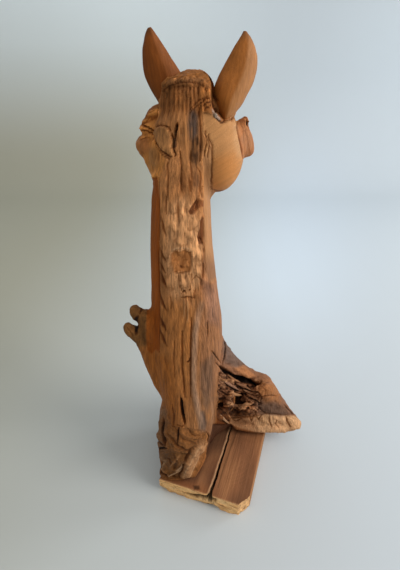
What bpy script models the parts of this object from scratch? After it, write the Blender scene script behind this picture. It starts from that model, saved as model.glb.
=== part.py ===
import math

import bmesh
import bpy
from mathutils import Matrix, Vector

MM = 0.001

PLINTH_WIDTH = 0.1407
PLINTH_LENGTH = 0.240
PLINTH_THICKNESS = 0.030
PLINTH_EDGE_WEAR = 0.0025
PLINTH_BREAK_SIDE = 0.021
PLINTH_BREAK_END = 0.016
CHECK_WIDTH = 0.0036
CHECK_DEPTH = 0.020
CHECK_FROM_SIDE = 0.058
CHECK_LENGTH = 0.208

FIGURE_HEIGHT = 0.5895
FIGURE_TURN = math.radians(198.6)
SEAT_GAP = 0.0003
EAR_GAP = 0.0003

FUSE_VOXEL = 0.0020
BODY_TRIANGLES = 7600

DRAWN_HEIGHT = 589.5
UNIT = FIGURE_HEIGHT / DRAWN_HEIGHT


def clear_scene():
    for obj in list(bpy.data.objects):
        bpy.data.objects.remove(obj, do_unlink=True)
    for mesh in list(bpy.data.meshes):
        bpy.data.meshes.remove(mesh)


def make_collection(name):
    collection = bpy.data.collections.new(name)
    bpy.context.scene.collection.children.link(collection)
    return collection


def wood(name, colour, roughness):
    material = bpy.data.materials.new(name)
    material.use_nodes = True
    shader = material.node_tree.nodes["Principled BSDF"]
    shader.inputs["Base Color"].default_value = (*colour, 1.0)
    shader.inputs["Roughness"].default_value = roughness
    shader.inputs["Metallic"].default_value = 0.0
    material.diffuse_color = (*colour, 1.0)
    return material


def add_object(name, bm, collection, material=None):
    mesh = bpy.data.meshes.new(name)
    bm.to_mesh(mesh)
    bm.free()
    obj = bpy.data.objects.new(name, mesh)
    collection.objects.link(obj)
    if material is not None:
        mesh.materials.append(material)
    return obj


def add_guide(name, bm):
    obj = add_object(name, bm, cutters)
    obj.hide_render = True
    obj.display_type = "WIRE"
    return obj


def section(centre, side, rise, half_side, half_rise, power, count=28):
    """Closed superellipse loop around a centre, in the plane of two unit vectors."""
    loop = []
    for step in range(count):
        angle = 2.0 * math.pi * step / count
        c = math.cos(angle)
        s = math.sin(angle)
        a = math.copysign(abs(c) ** (2.0 / power), c) * half_side
        b = math.copysign(abs(s) ** (2.0 / power), s) * half_rise
        loop.append(centre + side * a + rise * b)
    return loop


def loft(bm, loops):
    """Skin a list of equal loops and close both ends with a point."""
    rows = [[bm.verts.new(point * UNIT) for point in loop] for loop in loops]
    count = len(rows[0])
    faces = []
    for low, high in zip(rows, rows[1:]):
        for i in range(count):
            j = (i + 1) % count
            faces.append(bm.faces.new((low[i], low[j], high[j], high[i])))
    for row in (rows[0], rows[-1]):
        middle = sum((vert.co for vert in row), Vector()) / count
        tip = bm.verts.new(middle)
        for i in range(count):
            j = (i + 1) % count
            faces.append(bm.faces.new((row[j], row[i], tip)))
    bmesh.ops.recalc_face_normals(bm, faces=faces)


def upright(bm, table, power=2.4, count=32):
    """Loft level sections given as height, left, right, back and front."""
    loops = []
    for height, left, right, back, front in table:
        centre = Vector(((left + right) / 2, (back + front) / 2, height))
        loops.append(
            section(
                centre,
                Vector((1, 0, 0)),
                Vector((0, 1, 0)),
                (right - left) / 2,
                (front - back) / 2,
                power,
                count,
            )
        )
    loft(bm, loops)


def ball(bm, centre, radii, turn=(0.0, 0.0, 0.0), cuts=20):
    spin = Matrix.Rotation(math.radians(turn[2]), 4, "Z")
    spin = spin @ Matrix.Rotation(math.radians(turn[1]), 4, "Y")
    spin = spin @ Matrix.Rotation(math.radians(turn[0]), 4, "X")
    size = Matrix.Diagonal((*(Vector(radii) * UNIT), 1.0))
    place = Matrix.Translation(Vector(centre) * UNIT)
    bmesh.ops.create_uvsphere(
        bm, u_segments=cuts, v_segments=cuts // 2, radius=1.0, matrix=place @ spin @ size
    )


def rope(bm, points, count=12, flat=1.0):
    """Loft a round cord through points given as x, y, z and radius."""
    centres = [Vector(point[:3]) for point in points]
    loops = []
    for i, centre in enumerate(centres):
        before = centres[max(i - 1, 0)]
        after = centres[min(i + 1, len(centres) - 1)]
        along = (after - before).normalized()
        guide = Vector((0, 1, 0)) if abs(along.y) < 0.8 else Vector((1, 0, 0))
        side = along.cross(guide).normalized()
        rise = side.cross(along).normalized()
        radius = points[i][3]
        loops.append(section(centre, side, rise, radius, radius * flat, 2.0, count))
    loft(bm, loops)


clear_scene()
parts = make_collection("wooden_horse_head_sculpture")
cutters = make_collection("cutters")

body_wood = wood("sculpture_wood", (0.36, 0.17, 0.065), 0.62)
left_ear_wood = wood("ear_left_wood", (0.20, 0.085, 0.03), 0.58)
right_ear_wood = wood("ear_right_wood", (0.40, 0.19, 0.08), 0.58)
plinth_wood = wood("plinth_wood", (0.21, 0.095, 0.045), 0.7)

stand = bpy.data.objects.new("figure_place", None)
parts.objects.link(stand)
stand.location = (0.0, 0.0, PLINTH_THICKNESS + SEAT_GAP)
stand.rotation_euler = (0.0, 0.0, FIGURE_TURN)

# Figure: x runs to the horse's right, y the way it looks, z up from the plinth's top.
figure = bmesh.new()
trunk_table = [
    (-6, -98, -47, -88, 40),
    (0, -101, -45, -93, 42),
    (12, -103, -44, -99, 44),
    (32, -105, -39, -102, 44),
    (70, -106, -28, -98, 42),
    (95, -101, -22, -94, 40),
    (120, -97, -19, -91, 38),
    (145, -97, -17, -88, 35),
    (170, -99, -16, -85, 32),
    (195, -103, -13, -81, 29),
    (220, -106, -11, -78, 26),
    (245, -106, -11, -75, 24),
    (270, -105, -13, -72, 22),
    (295, -102, -17, -69, 20),
    (320, -100, -20, -67, 20),
    (345, -99, -23, -64, 20),
    (370, -98, -26, -62, 22),
    (395, -96, -28, -59, 25),
    (420, -94, -29.5, -56, 30),
    (445, -92, -31, -51, 36),
    (470, -90, -32, -45, 40),
    (495, -87, -33, -38, 40),
    (518, -82, -33, -32, 36),
    (534, -76, -34, -27, 26),
    (543, -70, -38, -22, 12),
]
upright(figure, trunk_table, power=2.5)

# Head: stations from poll to nose as share of length, half width, rise above and below the axis.
POLL = Vector((-43.0, -12.0, 528.0))
HEAD_LENGTH = 238.0
HEAD_DROP = math.radians(58.0)
HEAD_YAW = math.radians(7.3)
ahead = Vector(
    (
        -math.cos(HEAD_DROP) * math.sin(HEAD_YAW),
        math.cos(HEAD_DROP) * math.cos(HEAD_YAW),
        -math.sin(HEAD_DROP),
    )
)
beside = Vector((math.cos(HEAD_YAW), math.sin(HEAD_YAW), 0.0))
above = beside.cross(ahead)
head_table = [
    (-0.10, 17, 8, 16),
    (-0.05, 26, 18, 27),
    (0.03, 35, 24, 40),
    (0.12, 42, 28, 54),
    (0.22, 45, 30, 57),
    (0.32, 42, 28, 54),
    (0.42, 34, 26, 45),
    (0.52, 26, 24, 38),
    (0.62, 23, 22, 36),
    (0.72, 22.5, 21, 32),
    (0.82, 24, 20, 30),
    (0.90, 26, 19, 29),
    (0.96, 24, 15, 24),
    (1.00, 15, 8, 14),
]


def on_head(share, side=0.0, rise=0.0):
    return POLL + ahead * (share * HEAD_LENGTH) + beside * side + above * rise


head_loops = []
for share, half_width, top, low in head_table:
    head_loops.append(
        section(
            on_head(share, 0.0, (top - low) / 2),
            beside,
            above,
            half_width,
            (top + low) / 2,
            2.3,
            32,
        )
    )
loft(figure, head_loops)

# Crown and the chipped band across the poll.
ball(figure, (-50, -12, 527), (27, 20, 25.5))
ball(figure, (-63, -14, 523), (20, 16, 22))
rope(figure, [(-79, -22, 537, 4), (-70, -27, 542, 6), (-55, -29, 543, 6), (-40, -25, 540, 5)])

# Jowls: round cheek discs behind the eyes.
ball(figure, (-22, 0, 471), (29.5, 41, 42), cuts=28)
ball(figure, (-70, 0, 468), (27, 40, 40), cuts=28)

# Brow and eye of the right side, with its sharp upper corner.
ball(figure, (1, 18, 480), (19.5, 21, 20.5), cuts=24)
rope(figure, [(0, 16, 486, 11), (5, 13, 497, 8.5), (9, 10, 505, 5), (10.5, 8, 510.5, 2)])
ball(figure, (9.5, 18, 474), (12.5, 14, 11))

# Knotty brow of the left side.
ball(figure, (-86, 4, 507), (14, 16, 13))
ball(figure, (-94, 6, 497), (12.5, 15, 10.5))
ball(figure, (-97, 8, 478), (16, 18, 12))
ball(figure, (-90, 6, 465), (15, 18, 13))
ball(figure, (-86, 4, 450), (13, 17, 14))

# Muzzle: nostril wings, lips and chin.
for hand in (-1, 1):
    ball(figure, on_head(0.90, hand * 16, 8), (11, 15, 12))
    ball(figure, on_head(0.30, hand * 38, 16), (13, 16, 12))
    rope(
        figure,
        [
            (*on_head(0.40, hand * 30, 12), 6),
            (*on_head(0.55, hand * 23, 10), 5),
            (*on_head(0.68, hand * 18, 8), 4),
        ],
    )
ball(figure, on_head(0.97, 0, -10), (17, 13, 11))
ball(figure, on_head(0.92, 0, -24), (14, 12, 10))

# Knob of two lobes on the left side.
ball(figure, (-107, -42, 262), (14, 14, 26))
ball(figure, (-119, -42, 281), (10, 10, 11))
ball(figure, (-124, -41, 287), (7, 8, 7))
rope(figure, [(-112, -42, 232, 13), (-122, -43, 246, 10), (-132, -43, 258, 7.5), (-139, -43, 265, 6)])
rope(figure, [(-88, -40, 120, 6), (-98, -41, 158, 10), (-106, -42, 200, 12), (-113, -42, 232, 11)])

# Root flare on the right side: sections across it, from the trunk to its tip.
flare_table = [
    (-50, -68, 42, -6, 262, 2.4),
    (-28, -58, 44, -6, 246, 2.4),
    (-12, -44, 46, -6, 216, 2.2),
    (4, -22, 48, -6, 174, 2.2),
    (20, -13, 50, -6, 147, 2.2),
    (36, -12, 50, -6, 129, 2.2),
    (52, -14, 50, -6, 119, 2.3),
    (66, -14, 48, -4, 114, 2.6),
    (76, -13, 46, 0, 106, 2.6),
    (88, -11, 42, 0, 82, 2.2),
    (101, -9, 36, 0.5, 61, 2.2),
    (113, -7, 29, 1.5, 42, 2.1),
    (123, -5, 22, 3, 30, 2.0),
    (131, -2, 14, 5, 21, 2.0),
    (135, 1, 7, 8, 16, 2.0),
]
flare_loops = []
for across, near, far, low, high, power in flare_table:
    loop = []
    for point in section(
        Vector((across, (near + far) / 2, (low + high) / 2)),
        Vector((0, 1, 0)),
        Vector((0, 0, 1)),
        (far - near) / 2,
        (high - low) / 2,
        power,
        32,
    ):
        share = (point.z - low) / (high - low)
        middle = near * 0.35 + far * 0.65
        point.y = middle + (point.y - middle) * (1.12 - 0.55 * share)
        loop.append(point)
    flare_loops.append(loop)
loft(figure, flare_loops)
ball(figure, (62, 0, 99), (20, 15, 19), turn=(20, 0, 0))
ball(figure, (40, -2, 60), (24, 16, 30))
ball(figure, (2, -20, 100), (14, 16, 26))
rope(
    figure,
    [
        (6, 2, 14, 12),
        (28, -2, 11, 11),
        (52, -6, 9, 10),
        (78, -8, 9, 9),
        (102, -5, 9, 8.5),
        (122, -1, 9, 7),
        (133, 2, 9.5, 5),
    ],
)

# Toes of the foot on the plinth.
rope(figure, [(-30, -30, 62, 12), (-34, -52, 44, 13), (-44, -78, 26, 12), (-57, -93, 12, 9)])
rope(figure, [(-92, -60, 60, 14), (-93, -72, 36, 12), (-92, -80, 14, 10)])
ball(figure, (-94, -66, 74), (12, 12, 14))
ball(figure, (-94, -64, 96), (9, 10, 12))
ball(figure, (-94, -74, 46), (11, 11, 11))
ball(figure, (-89, -82, 6), (16, 13, 15))

trim = bmesh.new()
bmesh.ops.create_cube(trim, size=1.0)
for vert in trim.verts:
    vert.co.x *= 0.6
    vert.co.y *= 0.6
    vert.co.z = vert.co.z * 0.1 - 0.05
trim_guide = add_guide("foot_trim", trim)
trim_guide.parent = stand

# Hollows and cracks that show from a step away.
hollow = bmesh.new()
for hand in (-1, 1):
    ball(hollow, on_head(0.945, hand * 22, 10), (7, 8, 5), turn=(-40, 0, 0), cuts=14)
    ball(hollow, on_head(0.30, hand * 52, 6), (6, 9, 4), cuts=14)
rope(
    hollow,
    [
        (*on_head(0.80, 34, -12), 2.2),
        (*on_head(0.93, 22, -16), 3.0),
        (*on_head(1.02, 0, -17), 3.0),
        (*on_head(0.93, -22, -16), 3.0),
        (*on_head(0.80, -34, -12), 2.2),
    ],
)
rope(
    hollow,
    [(2, -5, 130, 3), (15, -1, 123, 6), (28, 2, 117, 6.5), (41, 2, 113, 6), (53, -1, 113, 4.5), (61, -3, 116, 2)],
    flat=1.3,
)
ball(hollow, (22, -7, 81), (11, 13, 11), cuts=16)
ball(hollow, (-9, -33, 100), (5.5, 11, 6.5), cuts=14)
ball(hollow, (-77, -111, 34), (16, 15, 17), turn=(0, 20, 0), cuts=18)
rope(hollow, [(-66, -85, 172, 1.5), (-65, -87, 152, 2.6), (-63.5, -90, 131, 2)], flat=2.2)
rope(
    hollow,
    [
        (-79, -47, 442, 1.5),
        (-80, -52.5, 418, 3),
        (-82, -57.5, 380, 3.5),
        (-83.5, -60.5, 343, 3.5),
        (-85.5, -64, 303, 3.5),
        (-91, -66, 250, 3),
        (-96, -62.5, 212, 1.5),
    ],
)
rope(
    hollow,
    [
        (-35, -40, 430, 1.5),
        (-37.6, -50.5, 400, 3),
        (-37.5, -56.5, 366, 3),
        (-37.3, -64, 317, 3),
        (-38.4, -71.5, 263, 2.5),
        (-40, -75, 230, 1.5),
    ],
)
rope(hollow, [(-58, -47.5, 464, 1.5), (-58.5, -54, 435, 2.5), (-59, -59.5, 399, 2.5), (-60, -64, 350, 1.5)])
ball(hollow, (-45.5, -51, 430), (6, 4, 6), cuts=12)
ball(hollow, (-42, -54.5, 396), (4, 4, 10), cuts=12)
ball(hollow, (-61, -64, 368), (9, 4.5, 11), cuts=12)
rope(hollow, [(-64.2, -40, 504, 1.5), (-64.4, -40.5, 496, 3.2), (-62.5, -41.5, 486, 1.5)], flat=1.8)
rope(hollow, [(-112, -56, 268, 2), (-117, -52, 262, 4), (-117, -52, 252, 3), (-112, -56, 244, 2)])
hollow_guide = add_guide("hollows", hollow)
hollow_guide.parent = stand

sculpture = add_object("sculpture", figure, parts, body_wood)
sculpture.parent = stand

fuse = sculpture.modifiers.new("fuse", "REMESH")
fuse.mode = "VOXEL"
fuse.voxel_size = FUSE_VOXEL
soften = sculpture.modifiers.new("soften", "SMOOTH")
soften.factor = 0.6
soften.iterations = 6
carve = sculpture.modifiers.new("carve", "BOOLEAN")
carve.operation = "DIFFERENCE"
carve.solver = "EXACT"
carve.use_self = True
carve.object = hollow_guide
refuse = sculpture.modifiers.new("refuse", "REMESH")
refuse.mode = "VOXEL"
refuse.voxel_size = FUSE_VOXEL
settle = sculpture.modifiers.new("settle", "SMOOTH")
settle.factor = 0.5
settle.iterations = 3
thin = sculpture.modifiers.new("thin", "DECIMATE")
thin.ratio = 0.08
level = sculpture.modifiers.new("level", "BOOLEAN")
level.operation = "DIFFERENCE"
level.solver = "EXACT"
level.object = trim_guide


# Ears: height along the ear, near edge, far edge, ridge place, depth of the ridge and of the scoop.
def ear_loops(table, base, tip, lean, swell):
    axis = (Vector(tip) - Vector(base)).normalized()
    loops = []
    for share, left, right, ridge, back, front, scoop in table:
        centre = Vector(base).lerp(Vector(tip), share)
        side = Vector((math.cos(lean), math.sin(lean), 0.0))
        side = (side - axis * side.dot(axis)).normalized()
        toward = axis.cross(side)
        left -= swell
        right += swell
        back += swell
        front += swell
        outline = [
            (left, 0.0),
            (left * 0.72 + ridge * 0.28, back * 0.52),
            (left * 0.36 + ridge * 0.64, back * 0.88),
            (ridge, back),
            (right * 0.36 + ridge * 0.64, back * 0.84),
            (right * 0.72 + ridge * 0.28, back * 0.50),
            (right, 0.0),
            (right * 0.86 + left * 0.14, -front * 0.75),
            (right * 0.66 + left * 0.34, -front + scoop * 0.7),
            (right * 0.50 + left * 0.50, -front + scoop),
            (right * 0.34 + left * 0.66, -front + scoop * 0.7),
            (right * 0.14 + left * 0.86, -front * 0.75),
        ]
        loops.append([centre + side * a - toward * b for a, b in outline])
    return loops


left_ear_table = [
    (0.00, -5, 9, 2, 6, 5, 0),
    (0.10, -12, 15, 3, 8, 6, 0),
    (0.25, -17, 20, 4, 9, 7, 0),
    (0.42, -17.5, 18.5, 3, 9, 7, 6),
    (0.58, -16, 15, 2, 8, 6, 8),
    (0.72, -13, 10.5, 1, 7, 5, 7),
    (0.84, -9, 6.5, 0.5, 5.5, 4, 5),
    (0.93, -5.2, 3.6, 0, 4, 3, 3),
    (1.00, -1.4, 1.2, 0, 1.6, 1.2, 0.6),
]
right_ear_table = [
    (0.00, -3.5, 4, 0, 4, 4, 0),
    (0.10, -9, 11, -2, 7, 6, 0),
    (0.24, -16, 17, -5, 9, 7, 0),
    (0.38, -19, 20.5, -6, 10, 7, 3),
    (0.52, -17, 21, -5, 9.5, 7, 7),
    (0.66, -13.5, 19, -4, 8, 6, 8),
    (0.79, -9.5, 14.5, -3, 6.5, 5, 6),
    (0.90, -5.5, 9, -1.5, 4.5, 3.5, 4),
    (0.96, -3, 5, -0.5, 3, 2.4, 2),
    (1.00, -1.2, 1.2, 0, 1.5, 1.2, 0.5),
]
LEFT_EAR_LEAN = math.radians(-6.0)
RIGHT_EAR_LEAN = math.radians(6.0)
left_ear_base = (-74.0, -8.0, 512.0)
left_ear_tip = (-88.0, -6.0, 585.5)
right_ear_base = (-16.0, -20.0, 505.0)
right_ear_tip = (1.0, -4.0, 582.5)

socket = bmesh.new()
swell = EAR_GAP / UNIT
for table, base, tip, lean in (
    (left_ear_table, left_ear_base, left_ear_tip, LEFT_EAR_LEAN),
    (right_ear_table, right_ear_base, right_ear_tip, RIGHT_EAR_LEAN),
):
    loops = ear_loops(table, base, tip, lean, swell)
    drop = (Vector(base) - Vector(tip)).normalized() * swell
    loops[0] = [point + drop for point in loops[0]]
    loft(socket, loops)
bmesh.ops.triangulate(socket, faces=socket.faces, quad_method="FIXED")
socket_guide = add_guide("ear_sockets", socket)
socket_guide.parent = stand

seat = sculpture.modifiers.new("sockets", "BOOLEAN")
seat.operation = "DIFFERENCE"
seat.solver = "EXACT"
seat.object = socket_guide

for name, table, base, tip, lean, material in (
    ("ear_left", left_ear_table, left_ear_base, left_ear_tip, LEFT_EAR_LEAN, left_ear_wood),
    ("ear_right", right_ear_table, right_ear_base, right_ear_tip, RIGHT_EAR_LEAN, right_ear_wood),
):
    shell = bmesh.new()
    loft(shell, ear_loops(table, base, tip, lean, 0.0))
    bmesh.ops.triangulate(shell, faces=shell.faces, quad_method="FIXED")
    ear = add_object(name, shell, parts, material)
    ear.parent = stand

# Plinth: one sawn block, its rear right corner broken away, one long drying check.
block = bmesh.new()
bmesh.ops.create_cube(block, size=1.0)
for vert in block.verts:
    vert.co.x *= PLINTH_WIDTH
    vert.co.y *= PLINTH_LENGTH
    vert.co.z *= PLINTH_THICKNESS
plinth = add_object("plinth", block, parts, plinth_wood)
plinth.location = (0.0, 0.0, PLINTH_THICKNESS / 2)
wear = plinth.modifiers.new("worn_edges", "BEVEL")
wear.width = PLINTH_EDGE_WEAR
wear.segments = 2

corner = bmesh.new()
near = PLINTH_LENGTH / 2
side = -PLINTH_WIDTH / 2
low = -0.01
high = PLINTH_THICKNESS + 0.01
outline = [
    (side + PLINTH_BREAK_END, near + 0.001),
    (side + PLINTH_BREAK_END * 0.35, near - PLINTH_BREAK_SIDE * 0.30),
    (side - 0.001, near - PLINTH_BREAK_SIDE),
    (side - 0.03, near - PLINTH_BREAK_SIDE),
    (side - 0.03, near + 0.03),
    (side + PLINTH_BREAK_END, near + 0.03),
]
floor = [corner.verts.new((x, y, low)) for x, y in outline]
face = corner.faces.new(floor)
raised = bmesh.ops.extrude_face_region(corner, geom=[face])
for item in raised["geom"]:
    if isinstance(item, bmesh.types.BMVert):
        item.co.z = high
bmesh.ops.recalc_face_normals(corner, faces=corner.faces)
corner_guide = add_guide("broken_corner", corner)
chip = plinth.modifiers.new("broken_corner", "BOOLEAN")
chip.operation = "DIFFERENCE"
chip.solver = "EXACT"
chip.object = corner_guide

split = bmesh.new()
bmesh.ops.create_cube(split, size=1.0)
check_x = side + CHECK_FROM_SIDE
for vert in split.verts:
    ahead_end = vert.co.y < 0
    wide = CHECK_WIDTH * (0.35 if ahead_end else 1.0)
    if vert.co.z < 0:
        wide *= 0.35
    vert.co.x = check_x + (wide / 2 if vert.co.x > 0 else -wide / 2)
    vert.co.y = near - CHECK_LENGTH if ahead_end else near + 0.005
    vert.co.z = PLINTH_THICKNESS + 0.005 if vert.co.z > 0 else PLINTH_THICKNESS - CHECK_DEPTH
split_guide = add_guide("drying_check", split)
crack = plinth.modifiers.new("drying_check", "BOOLEAN")
crack.operation = "DIFFERENCE"
crack.solver = "EXACT"
crack.object = split_guide

bpy.context.view_layer.update()
graph = bpy.context.evaluated_depsgraph_get()
thin.show_viewport = False
level.show_viewport = False
seat.show_viewport = False
graph.update()
whole = sculpture.evaluated_get(graph).to_mesh()
whole.calc_loop_triangles()
thin.ratio = min(1.0, BODY_TRIANGLES / len(whole.loop_triangles))
sculpture.evaluated_get(graph).to_mesh_clear()
thin.show_viewport = True
level.show_viewport = True
seat.show_viewport = True
graph.update()
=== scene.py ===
import math

import bmesh
import bpy
import numpy as np
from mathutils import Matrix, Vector


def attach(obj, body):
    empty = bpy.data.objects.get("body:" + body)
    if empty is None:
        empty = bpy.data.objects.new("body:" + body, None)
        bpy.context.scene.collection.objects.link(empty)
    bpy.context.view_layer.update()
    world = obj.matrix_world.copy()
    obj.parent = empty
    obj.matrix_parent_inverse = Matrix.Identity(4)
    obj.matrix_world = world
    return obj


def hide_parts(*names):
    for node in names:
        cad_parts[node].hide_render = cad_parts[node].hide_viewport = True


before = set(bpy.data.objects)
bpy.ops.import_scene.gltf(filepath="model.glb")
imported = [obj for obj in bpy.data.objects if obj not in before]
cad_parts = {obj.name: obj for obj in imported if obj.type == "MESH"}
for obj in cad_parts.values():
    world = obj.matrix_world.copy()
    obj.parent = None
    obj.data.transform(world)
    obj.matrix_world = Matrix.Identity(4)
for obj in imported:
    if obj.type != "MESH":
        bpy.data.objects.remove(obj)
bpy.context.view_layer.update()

# The view: a camera held behind the horse and a little to its right, close and tipped down.
# The marks of the carving are laid out in this view, across and down on a sheet 400 wide
# and 570 high, because the back of the neck is where most of the carving is.
EYE = np.array([-0.0991, 0.4226, 0.600])
TURN = math.radians(18.6)
TILT = math.radians(32.0)
REACH = 380.0
SHEET_HEIGHT = 570.0
SHEET_MIDDLE = (200.0, 284.5)
SENSOR = 36.0
AHEAD = np.array([math.sin(TURN), -math.cos(TURN), 0.0])
ACROSS = np.array([-math.cos(TURN), -math.sin(TURN), 0.0])
UP = np.array([0.0, 0.0, 1.0])
LOOK = AHEAD * math.cos(TILT) - UP * math.sin(TILT)
OVER = AHEAD * math.sin(TILT) + UP * math.cos(TILT)

camera_data = bpy.data.cameras.new("camera")
camera_data.sensor_fit = "AUTO"
camera_data.sensor_width = SENSOR
camera_data.lens = REACH * SENSOR / SHEET_HEIGHT
camera_data.clip_start = 0.01
camera = bpy.data.objects.new("camera", camera_data)
bpy.context.scene.collection.objects.link(camera)
camera.location = Vector(EYE)
camera.rotation_euler = Vector(LOOK).to_track_quat("-Z", "Y").to_euler()
bpy.context.scene.camera = camera

# The carved body: one seasoned trunk with its root. The neck keeps the wood's own fibres as a mane,
# the cheek and the ears' seats are cut smooth, and the root flare, the foot and the knob are left as
# they grew. It stands on the plinth by its sawn foot and is glued there.
BOARD_TOP = 0.0303
WELD_GAP = 0.00002
VOXEL = 0.00284
DEEPEST_SHOWN = 0.035
body = bpy.data.objects.new("carved_body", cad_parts["sculpture"].data.copy())
bpy.context.scene.collection.objects.link(body)
body.data.materials.clear()


def apply_all(obj):
    """Bake an object's modifiers into its mesh."""
    graph = bpy.context.evaluated_depsgraph_get()
    result = bpy.data.meshes.new_from_object(obj.evaluated_get(graph))
    old = obj.data
    obj.modifiers.clear()
    obj.data = result
    bpy.data.meshes.remove(old)


def read_mesh(obj):
    """A mesh's points and its vertex normals, one row each."""
    rows = []
    for kind in ("co", "normal"):
        values = np.empty(len(obj.data.vertices) * 3)
        obj.data.vertices.foreach_get(kind, values)
        rows.append(values.reshape(-1, 3))
    return rows


def write_points(obj, places):
    """Move a mesh's vertices to new places."""
    obj.data.vertices.foreach_set("co", places.ravel())
    obj.data.update()


def edges_of(obj):
    """The two vertices of each edge of a mesh."""
    pairs = np.empty(len(obj.data.edges) * 2, dtype=np.int64)
    obj.data.edges.foreach_get("vertices", pairs)
    return pairs.reshape(-1, 2)


def neighbour_mean(values, pairs):
    """Mean of each vertex's neighbours along the edges."""
    count = len(values)
    first, second = pairs.T
    total = np.stack([
        np.bincount(first, column[second], count) + np.bincount(second, column[first], count)
        for column in values.T
    ], 1)
    return total / np.maximum(np.bincount(pairs.ravel(), minlength=count), 1)[:, None]


def relax(places, pairs, rounds):
    """Smooth without shrinking: a step of 0.5 towards the neighbours, then 0.52 back."""
    for _ in range(rounds):
        for step in (0.5, -0.52):
            places = places + step * (neighbour_mean(places, pairs) - places)
    return places


weld = body.modifiers.new("weld", "WELD")
weld.merge_threshold = WELD_GAP
fuse = body.modifiers.new("fuse", "REMESH")
fuse.mode = "VOXEL"
fuse.voxel_size = VOXEL
fuse.use_smooth_shade = True
apply_all(body)
points, _ = read_mesh(body)
write_points(body, relax(points, edges_of(body), 10))

# The faces that the view shows are halved, so that they can carry the finer carving.
points, normals = read_mesh(body)
toward = EYE - points
toward /= np.linalg.norm(toward, axis=1)[:, None]
shown = ((normals * toward).sum(1) > 0.02) & (points @ AHEAD < DEEPEST_SHOWN)
sizes = np.array([len(face.vertices) for face in body.data.polygons])
corner = np.empty(sizes.sum(), dtype=np.int64)
body.data.polygons.foreach_get("vertices", corner)
owner = np.repeat(np.arange(len(sizes)), sizes)
fine = np.bincount(owner, shown[corner], len(sizes)) >= 3
work = bmesh.new()
work.from_mesh(body.data)
work.faces.ensure_lookup_table()
chosen = set()
for index in np.nonzero(fine)[0]:
    chosen.update(work.faces[index].edges)
bmesh.ops.subdivide_edges(work, edges=list(chosen), cuts=1, use_grid_fill=True)
bmesh.ops.triangulate(work, faces=[face for face in work.faces if len(face.verts) > 4])
work.to_mesh(body.data)
work.free()
body.data.update()
points, _ = read_mesh(body)
links = edges_of(body)
write_points(body, relax(points, links, 3))
points, normals = read_mesh(body)


def sheet_of(places):
    """Place of each point on the view's sheet: offset from the eye along ACROSS and OVER,
    each divided by the distance along LOOK, times REACH, from the sheet's middle."""
    away = places - EYE
    depth = away @ LOOK
    across = SHEET_MIDDLE[0] + REACH * (away @ ACROSS) / depth
    down = SHEET_MIDDLE[1] - REACH * (away @ OVER) / depth
    return np.stack([across, down], 1)


def ease(low, high, value):
    """Smooth step: 0 below low, 1 above high, a cubic with flat ends between."""
    share = np.clip((value - low) / (high - low), 0.0, 1.0)
    return share * share * (3.0 - 2.0 * share)


def to_line(place, line):
    """Distance from each place to a drawn line, and how far along the line it falls, 0 to 1."""
    line = np.array(line, float)
    lengths = np.linalg.norm(np.diff(line, axis=0), axis=1)
    starts = np.concatenate([[0.0], np.cumsum(lengths)])
    best = np.full(len(place), 1e9)
    share = np.zeros(len(place))
    for i, length in enumerate(lengths):
        step = line[i + 1] - line[i]
        along = np.clip((place - line[i]) @ step / max(length**2, 1e-12), 0.0, 1.0)
        gap = np.linalg.norm(place - line[i] - along[:, None] * step, axis=1)
        closer = gap < best
        best = np.where(closer, gap, best)
        share = np.where(closer, (starts[i] + along * length) / starts[-1], share)
    return best, share


def inside(place, outline, soft):
    """1 inside a closed outline, 0 outside, eased over a band of the given width at its edge."""
    outline = np.array(outline, float)
    within = np.zeros(len(place), bool)
    before = np.roll(outline, 1, axis=0)
    for (x1, y1), (x0, y0) in zip(outline, before):
        crosses = (y1 > place[:, 1]) != (y0 > place[:, 1])
        if y1 != y0:
            edge = (x0 - x1) * (place[:, 1] - y1) / (y0 - y1) + x1
            within ^= crosses & (place[:, 0] < edge)
    gap, _ = to_line(place, np.vstack([outline, outline[:1]]))
    return ease(-soft, soft, np.where(within, gap, -gap))


# The cheek runs smoothly into the top of the neck, so the seam of the two solids is planed away.
PLANED = ((201, 106), (212, 112), (226, 124), (222, 136), (212, 140), (203, 132))
planed = inside(sheet_of(points), PLANED, 3.0) * ((EYE - points) * normals).sum(1).clip(0.0, 0.05) / 0.05
for _ in range(16):
    points = points + 0.5 * planed[:, None] * (neighbour_mean(points, links) - points)
write_points(body, points)
points, normals = read_mesh(body)

# Each array below has one value for each point of the body: its place on the view's sheet,
# how squarely its surface meets the eye, its depth into the figure, the push along the normal,
# its painted shade (the shade of cracks and hollows, painted into the colour) and how coarse its
# fibre is. Its colour is the tint.
sheet = sheet_of(points)
across = sheet[:, 0]
down = sheet[:, 1]
toward = EYE - points
toward /= np.linalg.norm(toward, axis=1)[:, None]
facing = (normals * toward).sum(1)
deep = points @ AHEAD
side = points @ ACROSS
height = points[:, 2] - BOARD_TOP
near_side = ease(0.040, 0.025, deep)
left_root_side = ease(0.045, 0.030, deep)
root_side = ease(0.070, 0.055, deep)
seen = ease(-0.05, 0.15, facing) * near_side
push = np.zeros(len(points))
# Painted shade of cracks and hollows, darkening the colour.
painted_shade = np.zeros(len(points))
fibre = np.full(len(points), 0.6)


def paint(red, green, blue):
    """A colour given in 0 to 255 as the light that it reflects, 0 to 1."""
    value = np.array([red, green, blue]) / 255.0
    return np.where(value <= 0.04045, value / 12.92, ((value + 0.055) / 1.055) ** 2.4)


def cover(under, colour, amount):
    """Blend the colours under it towards a new one, by an amount from 0 to 1 at each point."""
    amount = np.clip(amount, 0.0, 1.0)[:, None]
    return under * (1.0 - amount) + paint(*colour) * amount


tint = np.tile(paint(150, 92, 46), (len(points), 1))


def lay(colour, amount):
    """Cover the body's colour with another one."""
    global tint
    tint = cover(tint, colour, amount)


def mottle(amount):
    """Lighten the body's colour by an amount at each point, or darken it where that is negative."""
    global tint
    tint = tint * (1.0 + amount)[:, None]


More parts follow.
